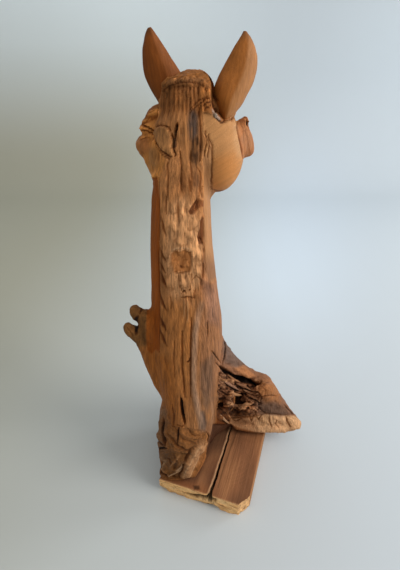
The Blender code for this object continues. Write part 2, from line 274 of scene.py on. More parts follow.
def add_painted_shade(amount):
    """Raise the body's painted shade to at least an amount from 0 to 1 at each point."""
    global painted_shade
    painted_shade = np.maximum(painted_shade, amount)


def zone(outline, soft, within=None):
    """How far each seen point lies inside an outline on the sheet, 0 to 1."""
    return inside(sheet, outline, soft) * (seen if within is None else within)


# The neck's left and right edges on the sheet, and each point's share of the way across.
LEFT_EDGE = ((60, 150), (160, 147), (185, 152), (240, 150), (305, 150), (345, 143), (410, 163), (480, 157))
RIGHT_EDGE = (
    (60, 212), (190, 210), (226, 211), (280, 216), (330, 223), (360, 222), (400, 217), (450, 209), (485, 190),
)
left_edge = np.interp(down, *zip(*LEFT_EDGE))
right_edge = np.interp(down, *zip(*RIGHT_EDGE))
width_share = (across - left_edge) / (right_edge - left_edge)
LANES = 60.0
lane = width_share * LANES

# Outlines of the body's parts on the sheet, and how far each point belongs to each part, 0 to 1.
NECK = (
    (158, 88), (170, 79), (190, 78), (205, 80), (211, 90), (211, 190), (214, 260), (224, 330),
    (222, 365), (217, 400), (213, 430), (205, 445), (170, 440), (160, 415), (150, 375), (138, 345),
    (148, 300), (150, 240), (152, 180), (150, 160), (155, 120),
)
LEFT_BAND = (
    (150, 178), (158, 176), (160, 200), (159.4, 250), (160, 290), (159.6, 352), (156, 349),
    (151.6, 353), (147.5, 349), (146, 335), (148, 296), (147, 240),
)
RIGHT_BAND = (
    (203, 150), (212, 140), (213, 200), (214, 250), (217, 276), (210, 282), (205, 272), (203.5, 250),
    (203.5, 215),
)
CHEEK = (
    (203, 112), (212, 114), (222, 123), (238, 116), (243, 128), (245, 160), (238, 190), (212, 192),
    (211.5, 150), (207, 138), (203, 130),
)
FLARE = (
    (217, 395), (219, 365), (224, 330), (238, 352), (262, 370), (280, 376), (300, 410), (306, 424),
    (290, 434), (262, 434), (230, 426), (217, 418),
)
RIM = (
    (229, 424), (231, 418), (241, 415.5), (255, 416.5), (267, 414), (281, 415.6), (295, 415),
    (304, 421), (300, 432), (262, 436), (240, 430),
)
TORN = (
    (216, 424), (216, 402), (218, 372), (230, 374), (262, 379), (258, 390), (262, 402), (262, 412),
    (240, 415), (229, 424),
)
WEB = ((213, 424), (230, 424.4), (233, 429), (240, 442), (222, 448), (207, 454), (209, 440))
WEB_PAINTED_SHADE = (84, 52, 34)
FOOT = ((154, 408), (165, 406), (172, 426), (205, 430), (211, 440), (190, 488), (156, 485))
BURL = (
    (130, 146), (136, 120), (152, 102), (160, 110), (156, 128), (158, 145), (166, 160), (156, 192),
    (146, 172),
)
KNOB = ((116, 330), (130, 300), (150, 302), (149, 345), (136, 348))
LOBES = ((150, 412), (166, 409), (167, 425), (164, 441), (167, 458), (160, 486), (150, 486))

on_neck = zone(NECK, 2.0)
left_band = zone(LEFT_BAND, 1.0)
right_band = zone(RIGHT_BAND, 1.4)
cheek = zone(CHEEK, 2.0)
flare = inside(sheet, FLARE, 1.0) * ease(-0.2, 0.1, facing) * root_side
rim = inside(sheet, RIM, 1.0) * flare
torn = inside(sheet, TORN, 2.0) * flare
foot = zone(FOOT, 3.0)
burl = inside(sheet, BURL, 2.5) * left_root_side
knob = inside(sheet, KNOB, 2.5) * left_root_side

# Colour zones from the crown down: the colour (the wood's own, but painted shade in the zone marked so),
# how strongly it covers what lies under it, how softly it ends, and its outline.
ZONES = (
    ((148, 93, 45), 1.0, 3, ((158, 90), (172, 66), (208, 66), (216, 90), (214, 112), (196, 112), (160, 112))),
    ((160, 106, 62), 1.0, 2, NECK),
    ((132, 80, 38), 0.7, 3, ((162, 84), (206, 82), (208, 108), (198, 116), (180, 110), (160, 118))),
    ((152, 92, 42), 0.7, 4, ((199, 84), (214, 86), (216, 112), (212, 130), (204, 128), (199, 108))),
    ((184, 130, 80), 1.0, 2.5, CHEEK),
    ((198, 128, 66), 0.7, 8, ((212, 158), (236, 152), (242, 172), (230, 192), (211, 192))),
    ((196, 148, 102), 0.6, 3, ((234, 122), (242, 122), (243, 154), (237, 156), (233, 140))),
    ((170, 108, 64), 1.0, 1.2, ((237, 110), (252, 110), (260, 145), (246, 162), (242, 158), (238, 127))),
    ((168, 114, 76), 0.8, 2, ((244, 126), (250, 130), (254, 143), (247, 150), (242, 140))),
    ((210, 138, 70), 1.0, 3, BURL),
    # Painted shade: the dark grey below the burl.
    ((112, 80, 50), 0.7, 5, ((149, 148), (158, 148), (161, 164), (155, 172), (149, 162))),
    ((156, 98, 58), 0.7, 3, ((136, 138), (148, 136), (150, 150), (142, 156), (134, 148))),
    ((196, 142, 96), 0.8, 6,
     ((168, 205), (186, 196), (200, 222), (204, 250), (203, 285), (172, 300), (164, 262))),
    ((140, 84, 42), 0.7, 1.5, ((200.5, 214), (203.4, 214), (206, 272), (204, 300), (199, 296), (202, 250))),
    ((168, 106, 53), 0.8, 9,
     ((146, 318), (170, 300), (198, 312), (196, 372), (180, 440), (160, 425), (140, 345))),
    ((153, 89, 34), 0.8, 6,
     ((140, 345), (158, 352), (172, 360), (177, 400), (174, 440), (160, 430), (157, 400))),
    ((157, 105, 68), 0.9, 5,
     ((203, 258), (216, 268), (226, 330), (224, 366), (214, 400), (200, 390), (199, 320))),
    ((134, 96, 78), 0.6, 5, ((203, 280), (216, 286), (220, 326), (208, 322))),
    ((104, 78, 60), 0.7, 4, ((200, 364), (214, 352), (213, 385), (208, 412), (202, 404), (199, 380))),
    ((84, 66, 56), 0.9, 2.5, ((198, 410), (204, 410), (207, 422), (205, 432), (199, 428))),
    ((132, 90, 60), 0.8, 1.5,
     ((208, 396), (217, 396), (216, 416), (213, 432), (207, 440), (205, 432), (211, 415))),
    ((136, 86, 44), 1.0, 3, FOOT),
    ((122, 84, 54), 0.9, 2, LOBES),
    ((124, 82, 42), 1.0, 3, KNOB),
)
for colour, strength, soft, outline in ZONES:
    lay(colour, strength * zone(outline, soft))
lay((146, 74, 18), left_band)
lay((158, 88, 30), 0.6 * left_band * ease(156, 151, across))
lay((176, 124, 80), right_band)
lay((134, 92, 62), 0.9 * right_band * ease(246, 268, down))

# The same for the root flare. Its web is the thin wood that spans from the trunk to the rim; its dark
# brown colour is painted shade.
FLARE_ZONES = (
    ((134, 90, 62), 1.0, 1, FLARE),
    ((108, 86, 74), 0.8, 3, ((222, 336), (232, 345), (246, 362), (238, 368), (225, 362))),
    ((176, 116, 72), 0.8, 2, ((234, 368), (244, 365), (256, 374), (246, 378))),
    ((160, 104, 62), 1.0, 3, ((256, 380), (274, 378), (280, 393), (279, 402), (266, 403), (258, 396))),
    # Painted shade: grey-brown darkening from the bulge down to the rim's top edge.
    ((98, 72, 56), 0.9, 4.5, ((254, 402), (276, 401), (292, 412), (286, 417), (262, 415))),
    ((194, 147, 105), 1.0, 1, RIM),
    ((160, 110, 72), 0.8, 6, ((226, 416), (256, 414), (256, 434), (228, 430))),
    (WEB_PAINTED_SHADE, 1.0, 1.2, WEB),
)
for colour, strength, soft, outline in FLARE_ZONES:
    lay(colour, strength * zone(outline, soft, np.maximum(flare, seen * (down > 420))))
# The web is painted dark brown on all sides as painted shade, and pushed in.
web = inside(sheet, WEB, 2.0) * root_side
lay(WEB_PAINTED_SHADE, web * ease(0.2, -0.1, facing))
push -= 0.003 * web

# The rim and the web are lifted clear of the plinth, and the flare's upper corner is lowered.
RIM_LIFT = 0.0065
WEB_LIFT = 0.010
CORNER_DROP = 0.0030
under_rim = ease(419, 430, down) * ease(224, 231, across) * ease(294, 268, across) * root_side
under_web = ease(423, 440, down) * ease(212, 217, across) * ease(236, 228, across) * root_side
flare_corner = ease(242, 256, across) * ease(286, 276, across) * ease(386, 372, down) * root_side

# How coarse the fibre is: coarsest in the torn wood, hardly any on the cut cheek.
fibre = np.where(on_neck > 0.5, 1.0, fibre)
for amount, share in (
    (left_band, 0.55), (right_band, 0.4), (cheek, 0.28), (rim, 0.7), (torn, 1.3), (foot, 0.9),
):
    fibre = fibre * (1.0 - amount) + share * amount


def hashed(cells, seed):
    """One number from 0 to 1 for each whole-number cell: its three indices and the seed are each
    multiplied by a large number, mixed bit by bit and cut to 16 bits."""
    mixed = cells[:, 0] * 73856093 ^ cells[:, 1] * 19349663 ^ cells[:, 2] * 83492791 ^ seed * 2654435
    mixed = (mixed ^ (mixed >> 13)) * 1274126177 & 0x7FFFFFFF
    mixed = (mixed ^ (mixed >> 16)) & 0xFFFF
    return mixed / 65535.0


def noise(first, second, third, seed):
    """Value noise from -1 to 1 over three coordinates: the hashed numbers at the eight corners of
    each unit cell, eased and blended."""
    spots = np.stack(np.broadcast_arrays(first, second, third), 1)
    base = np.floor(spots).astype(np.int64)
    part = spots - base
    part = part * part * (3.0 - 2.0 * part)
    total = np.zeros(len(spots))
    for step in np.ndindex(2, 2, 2):
        share = np.where(step, part, 1.0 - part)
        total += hashed(base + step, seed) * (share[:, 0] * share[:, 1]) * share[:, 2]
    return total * 2.0 - 1.0


def rough(first, second, third, seed, layers):
    """Sum of noises, each twice as fine and half as high as the one before."""
    total = 0.0
    for layer in range(layers):
        finer = 2.0**layer
        shift = 17.3 * layer
        grain = noise(first * finer + shift, second * finer + shift, third * finer + shift, seed + layer)
        total = total + grain * 0.5**layer
    return total


def folds(step, run, seed):
    """Long folds: noise fine across the neck and slow along it, folded at zero to sharp valleys."""
    bend = 1.4 * noise(lane / 22.0, down / 16.0, deep * 8.0, seed + 50)
    return 1.0 - 2.0 * np.abs(noise((lane + bend) / step, down / run, deep * 12.0, seed))


# The mane is the trunk's own fibre: folds that follow the neck, coarse, middle and fine, each
# given as step across the neck, run along it, depth in metres, darkness (painted shade in the
# fold's valleys) and seed.
FOLDS = ((8.5, 46.0, 0.0015, 0.30, 3), (3.8, 26.0, 0.0014, 0.52, 11), (2.0, 13.0, 0.0007, 0.34, 23))
mane = on_neck * (1.0 - left_band) * (1.0 - 0.9 * right_band) * (1.0 - cheek) * ease(84, 92, down)
upper = mane * ease(250, 205, down)
lower = mane * ease(300, 330, down)
for step, run, depth, shade, seed in FOLDS:
    fold = folds(step, run, seed)
    strength = mane * (0.75 + 0.45 * upper - 0.40 * lower)
    push += depth * strength * (0.5 - ease(0.35, -0.75, fold))
    add_painted_shade(shade * strength * ease(-0.05, -0.85, fold))
    mottle(0.16 * strength * ease(0.2, 0.9, fold))

# Torn flakes between the chips and the chisel cut: short scales with lifted edges, painted lighter
# where raised and darker where low as painted light and shade, with painted shade in their cracks.
FLAKED = ((168, 212), (188, 208), (204, 215), (204, 285), (194, 302), (170, 300), (164, 262), (166, 236))
flaked = zone(FLAKED, 5)
scale_noise = noise(across / 2.8, down / 6.0, deep * 30.0, 31)
scale_noise += 0.7 * noise(across / 5.0, down / 10.0, deep * 30.0, 33)
scales = np.clip(scale_noise * 1.6, -1.0, 1.0)
push += 0.0008 * flaked * scales
mottle(0.20 * flaked * scales)
add_painted_shade(0.42 * flaked * ease(0.16, 0.0, np.abs(scale_noise + 0.2)))

# Combed locks under the crown's band, each rounded between two valleys, with painted shade in the valleys.
LOCK_VALLEYS = (158, 161.5, 165, 169, 173.5, 177.4, 182, 185.8, 189.7, 194, 198.5)
swing = 0.9 * noise(down / 10.0, across / 30.0, 0.0, 35)
valley_gap = np.min([np.abs(across + swing - valley) for valley in LOCK_VALLEYS], axis=0)
locks = on_neck * ease(82.5, 86, down) * ease(124, 104, down) * ease(201, 198, across)
roll = np.sqrt(np.clip(valley_gap / 2.0, 0.0, 1.0))
push -= (0.0010 + 0.0022 * (1.0 - roll)) * locks
add_painted_shade(0.55 * locks * (1.0 - roll) ** 1.2)
BAND = (
    (161, 92), (164, 85), (172, 78.6), (183, 76.4), (194, 76.4), (204, 79), (210, 86), (210, 98), (207.6, 97),
    (206.6, 90), (202.6, 84.6), (194, 81.6), (184, 81.4), (173, 84), (166, 90),
)
band = zone(BAND, 0.9)
nubs = rough(across / 2.4, down / 2.4, deep * 40.0, 39, 2)
push += (0.0014 + 0.0011 * nubs) * band
mottle(0.30 * band * np.clip(nubs, -1, 1))
# Painted shade between the band's nubs.
add_painted_shade(0.5 * band * ease(-0.4, -0.9, nubs))
CROWN = ((160, 88), (172, 64), (208, 64), (214, 88))
crown = zone(CROWN, 3)
bark = rough(across / 3.4, down / 2.6, deep * 40.0, 40, 4)
push += 0.0008 * crown * bark
mottle(0.12 * crown * bark)

# Cuts and raised strands are laid only where the view shows the wood or the flare.
CUT_MARGIN = 12
workable = np.maximum(seen, flare)


def tapered(places, line):
    """Distance from a line, and a fade that runs out over a fifth of it at both ends."""
    gap, share = to_line(places, line)
    return gap, np.sqrt(np.clip(np.minimum(share, 1.0 - share) * 5.0, 0.0, 1.0))


def cut(line, half, depth, dark):
    """A gouged or split line: a rounded valley of the given half width, deepest in its middle
    and running out at both ends, darkened by painted shade as deep as its darkness."""
    low, high = np.min(line, axis=0) - CUT_MARGIN, np.max(line, axis=0) + CUT_MARGIN
    picked = np.nonzero(((sheet > low) & (sheet < high)).all(1) & (workable > 0))[0]
    gap, fade = tapered(sheet[picked], line)
    wide = half * (0.35 + 0.65 * fade)
    push[picked] -= depth * ease(1.0, 0.25, gap / wide) * workable[picked]
    shade = dark * ease(1.15, 0.5, gap / wide) * fade * workable[picked]
    painted_shade[picked] = np.maximum(painted_shade[picked], shade)


def lift(line, half, rise, colour):
    """A strand or splinter that stands up: a rounded ridge with tapering ends."""
    global push
    gap, fade = tapered(sheet, line)
    shape = ease(1.0, 0.1, gap / half) * fade * workable
    push += rise * shape
    if colour is not None:
        lay(colour, 0.75 * shape)


def scoop(outline, soft, depth, dark, colour):
    """A shallow cut with a flat floor inside an outline, darkened by painted shade as deep as its darkness.
    """
    global push
    amount = zone(outline, soft)
    push -= depth * amount
    add_painted_shade(dark * amount)
    lay(colour, 0.85 * amount)


def leaf(top, tip, half):
    """Outline of a slanting leaf-shaped cut from its top to its tip."""
    (x0, y0), (x1, y1) = top, tip
    return (
        (x0, y0), (x0 + (x1 - x0) * 0.35 + half, y0 + (y1 - y0) * 0.45), (x1, y1),
        (x0 + (x1 - x0) * 0.45 - half, y0 + (y1 - y0) * 0.62),
    )


# Cuts of the head and crown, the neck and the foot, which take in the knob's two: line, half width
# on the sheet, depth in metres and darkness (painted shade in the cut).
HEAD_CUTS = (
    (((163, 92), (166, 88), (173, 83.6), (184, 81.6), (195, 82), (203, 85), (206.6, 92)), 0.9, 0.0012, 0.5),
    (((166, 80), (172, 77.2), (183, 75.6), (194, 75.6), (204, 78)), 0.8, 0.0006, 0.3),
    (((208, 96), (203, 98), (197, 101), (190.5, 108.5)), 0.9, 0.0014, 0.55),
    (((206, 99), (200, 103), (192, 110), (189, 114)), 0.8, 0.0013, 0.5),
    (((211, 97), (206, 98.5), (202, 101.4)), 1.0, 0.0016, 0.75),
    (((210.6, 101), (206, 102.5), (202.6, 106)), 1.0, 0.0016, 0.75),
    (((210.4, 105), (206.4, 107), (203.6, 110)), 0.9, 0.0014, 0.7),
    (((201, 102), (199, 112), (200.6, 126), (201, 142), (200, 160)), 1.3, 0.0018, 0.55),
    (((205.3, 130), (206.5, 142), (203.6, 158)), 0.9, 0.0014, 0.6),
    (((208.5, 134), (209.2, 146), (206.5, 160)), 0.8, 0.0012, 0.5),
    (((178, 122), (176.6, 130), (175.2, 138)), 1.9, 0.0045, 1.0),
    (((175.4, 137), (175, 148)), 1.5, 0.0020, 0.6),
    (((157, 127), (163.8, 124.8), (169.5, 126.6), (172.4, 132)), 0.9, 0.0018, 0.55),
    (((171.6, 131), (173.6, 140), (173.6, 147), (176.4, 157)), 1.1, 0.0026, 0.85),
    (((155.6, 136), (157.4, 143), (163, 150.6), (172, 157)), 1.1, 0.0024, 0.8),
    (((157.4, 147), (163, 154), (170, 158.6)), 0.8, 0.0014, 0.5),
    (((140.5, 124.4), (148, 126.4), (155, 131)), 1.2, 0.0028, 0.9),
    (((140, 129), (147, 130.6), (155, 135)), 1.0, 0.0022, 0.8),
    (((143, 123), (147, 119), (151, 115.6)), 0.8, 0.0014, 0.5),
    (((148, 112), (153, 111), (158, 108)), 0.8, 0.0012, 0.45),
    (((147, 120), (153, 119), (159, 114)), 0.8, 0.0012, 0.4),
    (((141, 139.5), (147, 136.5), (153, 138)), 0.8, 0.0010, 0.4),
    (((211.5, 88), (212.6, 96), (213.6, 106), (216.5, 112)), 1.5, 0.0030, 0.9),
    (((213, 112.5), (216.5, 118), (220, 121.4), (223.5, 121.6), (226.5, 117.6)), 0.9, 0.0016, 0.75),
    (((207.6, 135), (212.2, 145), (212, 160), (210.8, 188)), 0.9, 0.0014, 0.55),
    (((196.5, 166), (199.5, 172), (199, 184), (198, 196)), 1.1, 0.0014, 0.5),
    (((190, 162), (191.6, 176), (190.4, 192)), 1.2, 0.0014, 0.5),
    (((180, 150), (181.6, 170), (180.6, 192)), 1.2, 0.0014, 0.45),
    (((168, 160), (169, 180), (167.6, 200)), 1.2, 0.0012, 0.4),
    (((247.8, 117.8), (247.9, 125)), 1.7, 0.0034, 1.0),
    (((239, 117.4), (243, 116), (248, 117)), 0.8, 0.0010, 0.4),
    (((237.4, 119), (237, 127), (239.2, 138), (241.4, 147.6), (243, 158)), 1.0, 0.0016, 0.6),
    (((244.6, 128), (247, 138), (249.6, 151)), 0.8, 0.0006, 0.15),
    (((211, 188.4), (218, 190.6), (226, 190.4), (234, 186.6)), 0.9, 0.0008, 0.55),
)
NECK_CUTS = (
    (((159.8, 176), (160.5, 200), (160, 240)), 1.2, 0.0012, 0.4),
    (((168.3, 190), (166.6, 204), (167, 214)), 0.9, 0.0010, 0.45),
    (((159.6, 240), (158.8, 262), (160, 300), (159.6, 352)), 0.9, 0.0012, 0.45),
    (((202, 184), (199.5, 190), (201, 198)), 0.8, 0.0010, 0.5),
    (((203.6, 212), (203.4, 226), (204.4, 250), (206, 272)), 0.9, 0.0012, 0.4),
    (((203, 247), (203.8, 253)), 1.1, 0.0012, 0.6),
    (((203, 262), (202.4, 278)), 1.5, 0.0014, 0.6),
    (((192, 280), (196, 275), (201, 279), (200.4, 288)), 0.8, 0.0010, 0.5),
    (((196, 288), (193.6, 293), (194.6, 299)), 0.9, 0.0012, 0.5),
    (((182, 293), (184, 289.6), (186, 292)), 1.0, 0.0016, 0.75),
    (((188.6, 290), (191, 287.8)), 1.0, 0.0016, 0.75),
    (((181.4, 296.8), (187, 295.6), (195, 297.6)), 0.9, 0.0016, 0.7),
    (((178.4, 272), (179.4, 284), (182.5, 292)), 0.8, 0.0010, 0.35),
    (((191.4, 272), (190.8, 282), (189.6, 289)), 0.8, 0.0010, 0.35),
    (((170.8, 296), (172, 302), (171, 308)), 0.9, 0.0010, 0.45),
    (((207.6, 319), (207.8, 337)), 0.8, 0.0012, 0.85),
    (((191.6, 316), (190.8, 345), (190.4, 372), (190.8, 397)), 1.3, 0.0022, 0.62),
    (((182, 330), (182.2, 366), (184, 384), (184.6, 398)), 1.2, 0.0018, 0.6),
    (((174.6, 340), (173.8, 360), (175, 380)), 0.9, 0.0010, 0.35),
    (((186.6, 362), (189, 360.4), (190.6, 357)), 1.1, 0.0018, 0.85),
    (((180.9, 397), (182.2, 410), (185, 424)), 1.9, 0.0065, 1.0),
    (((178.6, 427), (178, 436), (177.2, 443)), 1.1, 0.0028, 0.92),
    (((172, 404), (174, 416), (173, 426)), 1.0, 0.0012, 0.5),
    (((176, 424), (182, 426), (186, 423)), 0.9, 0.0012, 0.5),
    (((211.6, 350), (216, 356), (220.3, 362)), 0.9, 0.0018, 0.9),
    (((215, 361), (219, 366), (223, 368)), 0.8, 0.0014, 0.8),
    (((222, 330), (224.6, 338), (225.6, 347), (224, 358), (221.6, 366)), 1.1, 0.0028, 0.92),
)
FOOT_CUTS = (
    (((163.6, 416), (163, 427), (164.6, 440), (165, 446)), 1.8, 0.0040, 0.85),
    (((156.6, 452), (160, 447.4), (166.8, 448.4)), 1.3, 0.0030, 0.97),
    (((160, 458.6), (167, 460.5), (169.6, 466)), 1.5, 0.0016, 0.45),
    (((158, 440), (161, 441.6), (164, 446)), 1.2, 0.0022, 0.75),
    (((157, 466), (161, 473), (168, 480)), 1.5, 0.0022, 0.7),
    (((168, 432), (176, 444), (188, 452), (197, 447)), 2.0, 0.0024, 0.45),
    (((174, 426), (183, 438), (196, 444), (203, 438)), 1.6, 0.0014, 0.3),
    (((188, 428), (192, 434), (200, 435)), 0.9, 0.0012, 0.45),
    (((193, 449), (186, 461), (180, 474), (178, 485)), 1.6, 0.0026, 0.6),
    (((172, 455), (176, 464), (174, 472)), 2.0, 0.0014, 0.35),
    (((206, 431), (208.8, 436), (207, 442)), 1.1, 0.0020, 0.85),
    (((163, 479), (172, 483), (181, 487)), 1.4, 0.0016, 0.8),
    (((139, 315), (135.6, 319), (136.8, 327), (136, 335)), 2.2, 0.0010, 0.97),
    (((147, 302.6), (142.6, 307), (139.4, 314)), 1.1, 0.0016, 0.6),
    (((127, 327), (130, 330), (133, 336)), 0.9, 0.0010, 0.45),
)
for line, half, depth, dark in HEAD_CUTS + NECK_CUTS + FOOT_CUTS:
    cut(line, half, depth, dark)

# The flake beside the slot, the burnt streak and its soot.
FLAKE = (
    (157.7, 128.4), (163.8, 126), (169, 127.5), (171.4, 133.6), (172.2, 145.8), (175, 155), (172, 155.6),
    (163, 149.2), (157.4, 140.4), (155.4, 135.4),
)
flake = zone(FLAKE, 1.2)
push += 0.0022 * flake
lay((170, 118, 70), 0.8 * flake)
BRIGHT_FIBRE = ((205.5, 136), (207.5, 143), (205.3, 155))
lift(BRIGHT_FIBRE, 1.5, 0.0010, (190, 136, 84))
smear = rough(lane / 1.8, down / 12.0, deep * 8.0, 41, 3)
BURNT = ((189.5, 111), (194, 109), (198, 115), (198, 133), (194, 140), (190, 138), (188, 124))
CHAR = ((191, 140), (199, 134), (201, 146), (198.4, 158), (195, 168), (191, 160))
SMUDGE = ((190, 166), (198, 164), (199, 190), (196, 200), (189, 190))
GREY_SPLIT = ((173.6, 138), (176.4, 138), (176.4, 147), (173.6, 147))
EAR_SEAM = ((211.6, 108), (216, 112), (221, 119), (219, 121), (213, 115))
CHEEK_TOP = ((222, 112), (243, 102), (240, 113), (228, 117))
lay((82, 66, 58), 0.95 * zone(BURNT, 3.2) * ease(-1.3, 0.1, smear))
lay((62, 38, 24), 0.9 * zone(CHAR, 2.0) * ease(-0.9, 0.3, smear))
lay((104, 64, 38), 0.75 * zone(SMUDGE, 3.5) * ease(-0.7, 0.5, smear))
lay((126, 112, 100), 0.7 * zone(GREY_SPLIT, 1.2))
# The glue film in the right ear's seam: its own pale grey, with a painted highlight of its shine.
lay((150, 144, 136), 0.6 * zone(EAR_SEAM, 1.0))
scoop(CHEEK_TOP, 1.5, -0.0030, 0.0, (186, 130, 82))

# Leaf-shaped cuts along the mane's left edge, the gouge chips and the chisel's square patch.
WEDGES = (
    ((161.6, 214), (167, 236), 1.2, 0.34), ((159.8, 247), (166.6, 261), 1.5, 0.52),
    ((159.8, 261), (166.2, 273), 1.4, 0.52), ((160.4, 271), (167.6, 288), 1.7, 0.60),
    ((159.4, 291), (167.6, 311), 1.5, 0.58), ((159.8, 314), (166.8, 331), 1.6, 0.58),
    ((159.8, 328), (167.4, 346), 1.6, 0.56),
)
for top, tip, half, dark in WEDGES:
    scoop(leaf(top, tip, half), 0.8, 0.0014, dark, (134, 78, 36))
CHIP_LEFT = ((188, 211), (192.4, 203), (197, 198), (198, 203), (193, 213.6), (190, 214))
CHIP_RIGHT = ((197.6, 198), (201.6, 200), (203, 205.4), (198.6, 207), (194, 213))
CHIP_LOW = ((196, 236), (199.4, 228), (200.4, 216), (202.8, 218), (204.2, 236), (202.4, 243.4), (198, 243.5))
CHIP_RIDGE = ((197.4, 198.6), (195, 206), (192.6, 213))
CHIP_HEEL = ((197.4, 241), (199.2, 237), (201.4, 239.6))
scoop(CHIP_LEFT, 0.8, 0.0020, 0.42, (128, 72, 36))
scoop(CHIP_RIGHT, 0.8, 0.0014, 0.25, (150, 88, 48))
lift(CHIP_RIDGE, 0.8, 0.0010, (176, 118, 76))
scoop(CHIP_LOW, 1.0, 0.0016, 0.36, (136, 78, 38))
cut(CHIP_HEEL, 1.4, 0.0012, 0.7)
CHISELLED = (
    (171.6, 253), (175, 250), (179, 251), (184, 249), (188, 251), (191, 251), (190.8, 260), (190.4, 270.6),
    (174, 271.6), (171.6, 262),
)
CHISEL_CUTS = (
    (((173, 271), (178, 272.4), (190.4, 271.4)), 0.9, 0.0012, 0.6),
    (((171.2, 253), (171, 262), (172.6, 270)), 0.7, 0.0008, 0.4),
    (((191.2, 252), (191.2, 270)), 0.6, 0.0006, 0.35),
    (((180, 265), (182.6, 267.6)), 1.4, 0.0010, 0.75),
    (((178, 252), (177, 258)), 0.7, 0.0006, 0.35),
    (((184.6, 252), (185.6, 260)), 0.7, 0.0006, 0.35),
)
CHISEL_LIP = ((171, 250), (176, 247.6), (184, 246.8), (191.6, 248.6))
chiselled = zone(CHISELLED, 0.7)
push -= 0.0016 * chiselled
lay((172, 108, 56), 0.9 * chiselled)
fibre = fibre * (1.0 - 0.5 * chiselled)
pecks = noise(across / 2.2, down / 2.6, deep * 20.0, 45)
push += 0.0004 * chiselled * pecks
mottle(0.16 * chiselled * pecks)
for line, half, depth, dark in CHISEL_CUTS:
    cut(line, half, depth, dark)
lift(CHISEL_LIP, 1.3, 0.0008, (196, 152, 112))

# The foot's hollow, and light strands that stand up on the neck, the root ridge and the foot.
HOLLOW = ((167, 453), (178, 451), (189, 454), (186, 467), (179, 482), (170, 481), (161, 474), (160, 463))
hollow = zone(HOLLOW, 4.0)
push -= 0.0050 * hollow
lay((112, 72, 36), 0.6 * hollow)
ROOT_RIDGE = ((202, 300), (198.4, 312), (195, 332), (193.6, 360), (193.4, 386), (198, 410), (203, 432))
STRANDS = (
    (((168.3, 190), (168.6, 202), (168, 213)), 0.9, 0.0010, (186, 138, 92)),
    (((184, 298), (184.6, 306), (184, 318)), 1.1, 0.0012, (178, 130, 86)),
    (((187.4, 298), (188, 308), (187.6, 322)), 1.1, 0.0012, (182, 134, 90)),
    (((180.4, 274), (182, 284), (184.6, 290)), 2.2, 0.0008, (176, 124, 82)),
    (((187, 274), (188, 282), (187.6, 288)), 2.2, 0.0008, (182, 130, 88)),
    (ROOT_RIDGE, 5.0, 0.0014, (174, 136, 108)),
    (((209.6, 396), (212, 412), (210.4, 428), (208.6, 440)), 2.2, 0.0014, (170, 122, 86)),
    (((175, 474), (180, 469.6), (186.6, 462.6)), 1.2, 0.0018, (204, 164, 126)),
    (((158, 476), (168, 483), (178, 485)), 1.2, 0.0014, (176, 132, 90)),
    (((170, 431), (169, 440), (172, 449)), 1.3, 0.0014, (150, 102, 60)),
    (((166, 478.6), (174, 476.4), (182, 470)), 1.1, 0.0018, (196, 156, 118)),
    (((159.6, 466), (163, 474), (170, 479)), 0.9, 0.0012, (150, 108, 72)),
    (((171, 448), (181, 453), (190, 456)), 1.6, 0.0018, (136, 88, 48)),
    (((180, 430), (188, 436), (198, 439)), 1.6, 0.0014, (134, 86, 46)),
    # Painted highlight: the light band along the toe's low ridge.
    (((206, 439), (198, 452), (190.5, 465), (184, 482)), 6.5, 0.0018, (186, 136, 94)),
    (((207, 441), (200, 454), (193, 467), (188, 480)), 0.8, 0.0007, (200, 154, 112)),
    (((201, 444), (194, 455), (187, 468), (183, 478)), 0.7, 0.0007, (196, 150, 108)),
    (((152, 434), (156, 425), (160, 418)), 2.6, 0.0018, (120, 88, 64)),
    (((158, 456), (163, 461), (160, 469)), 2.2, 0.0016, (158, 120, 86)),
    (((166, 470), (174, 463), (180, 456)), 2.0, 0.0016, (146, 102, 64)),
    (((160, 453), (163, 452.4), (166, 454)), 1.4, 0.0016, (128, 84, 50)),
)
for line, half, rise, colour in STRANDS:
    lift(line, half, rise, colour)

# Torn wood of the flare: crumbs, the long cavity and the round hollows, with painted shade between the
# crumbs and in the cavity and the hollows.
crumbs = rough(across / 4.0, down / 2.7, deep * 60.0, 51, 4)
push += 0.0036 * torn * np.clip(crumbs, -1.3, 1.1)
add_painted_shade(torn * ease(0.0, -0.8, crumbs) * 0.97)
lay((196, 142, 98), 0.75 * torn * ease(0.2, 0.8, crumbs))
CAVITY = ((220, 366), (227, 372), (233.7, 376.6), (242, 378.4), (249, 380), (254.6, 383.6), (262, 380.2))
FLARE_CUTS = (
    (CAVITY, 3.0, 0.0090, 1.0),
    (((234, 377.6), (246, 381.4), (258, 383.6)), 2.8, 0.0040, 1.0),
    (((243, 388.4), (250, 391), (258, 392.6)), 1.3, 0.0030, 0.95),
    (((244, 395), (254, 399), (262, 403)), 1.1, 0.0024, 0.9),
    (((226, 381.6), (232, 386.4), (239, 390.6)), 1.2, 0.0026, 0.92),
    (((220, 390), (226, 394), (232, 394)), 1.3, 0.0026, 0.92),
    (((259.6, 396.6), (266, 395.4), (277.6, 394.8)), 0.6, 0.0010, 0.7),
    (((262, 386), (266, 390), (264, 399)), 0.6, 0.0008, 0.55),
    (((259, 392), (262, 398), (258.6, 402)), 0.8, 0.0016, 0.85),
    (((229, 420), (241, 416.6), (255, 416.8), (261, 414.6)), 1.1, 0.0020, 0.7),
    (((262, 414), (272, 412.6), (284, 414.6)), 0.8, 0.0010, 0.5),
    (((254, 411), (260, 408), (266, 414)), 0.9, 0.0018, 0.75),
    (((276.6, 418), (275, 424), (278.6, 429)), 0.7, 0.0012, 0.6),
    (((288, 418), (287, 424)), 0.6, 0.0008, 0.4),
    (((284, 404), (290, 410.4), (294.6, 415)), 0.9, 0.0012, 0.75),
)
for line, half, depth, dark in FLARE_CUTS:
    cut(line, half, depth, dark)
ISLAND = (243.4, 398.4)
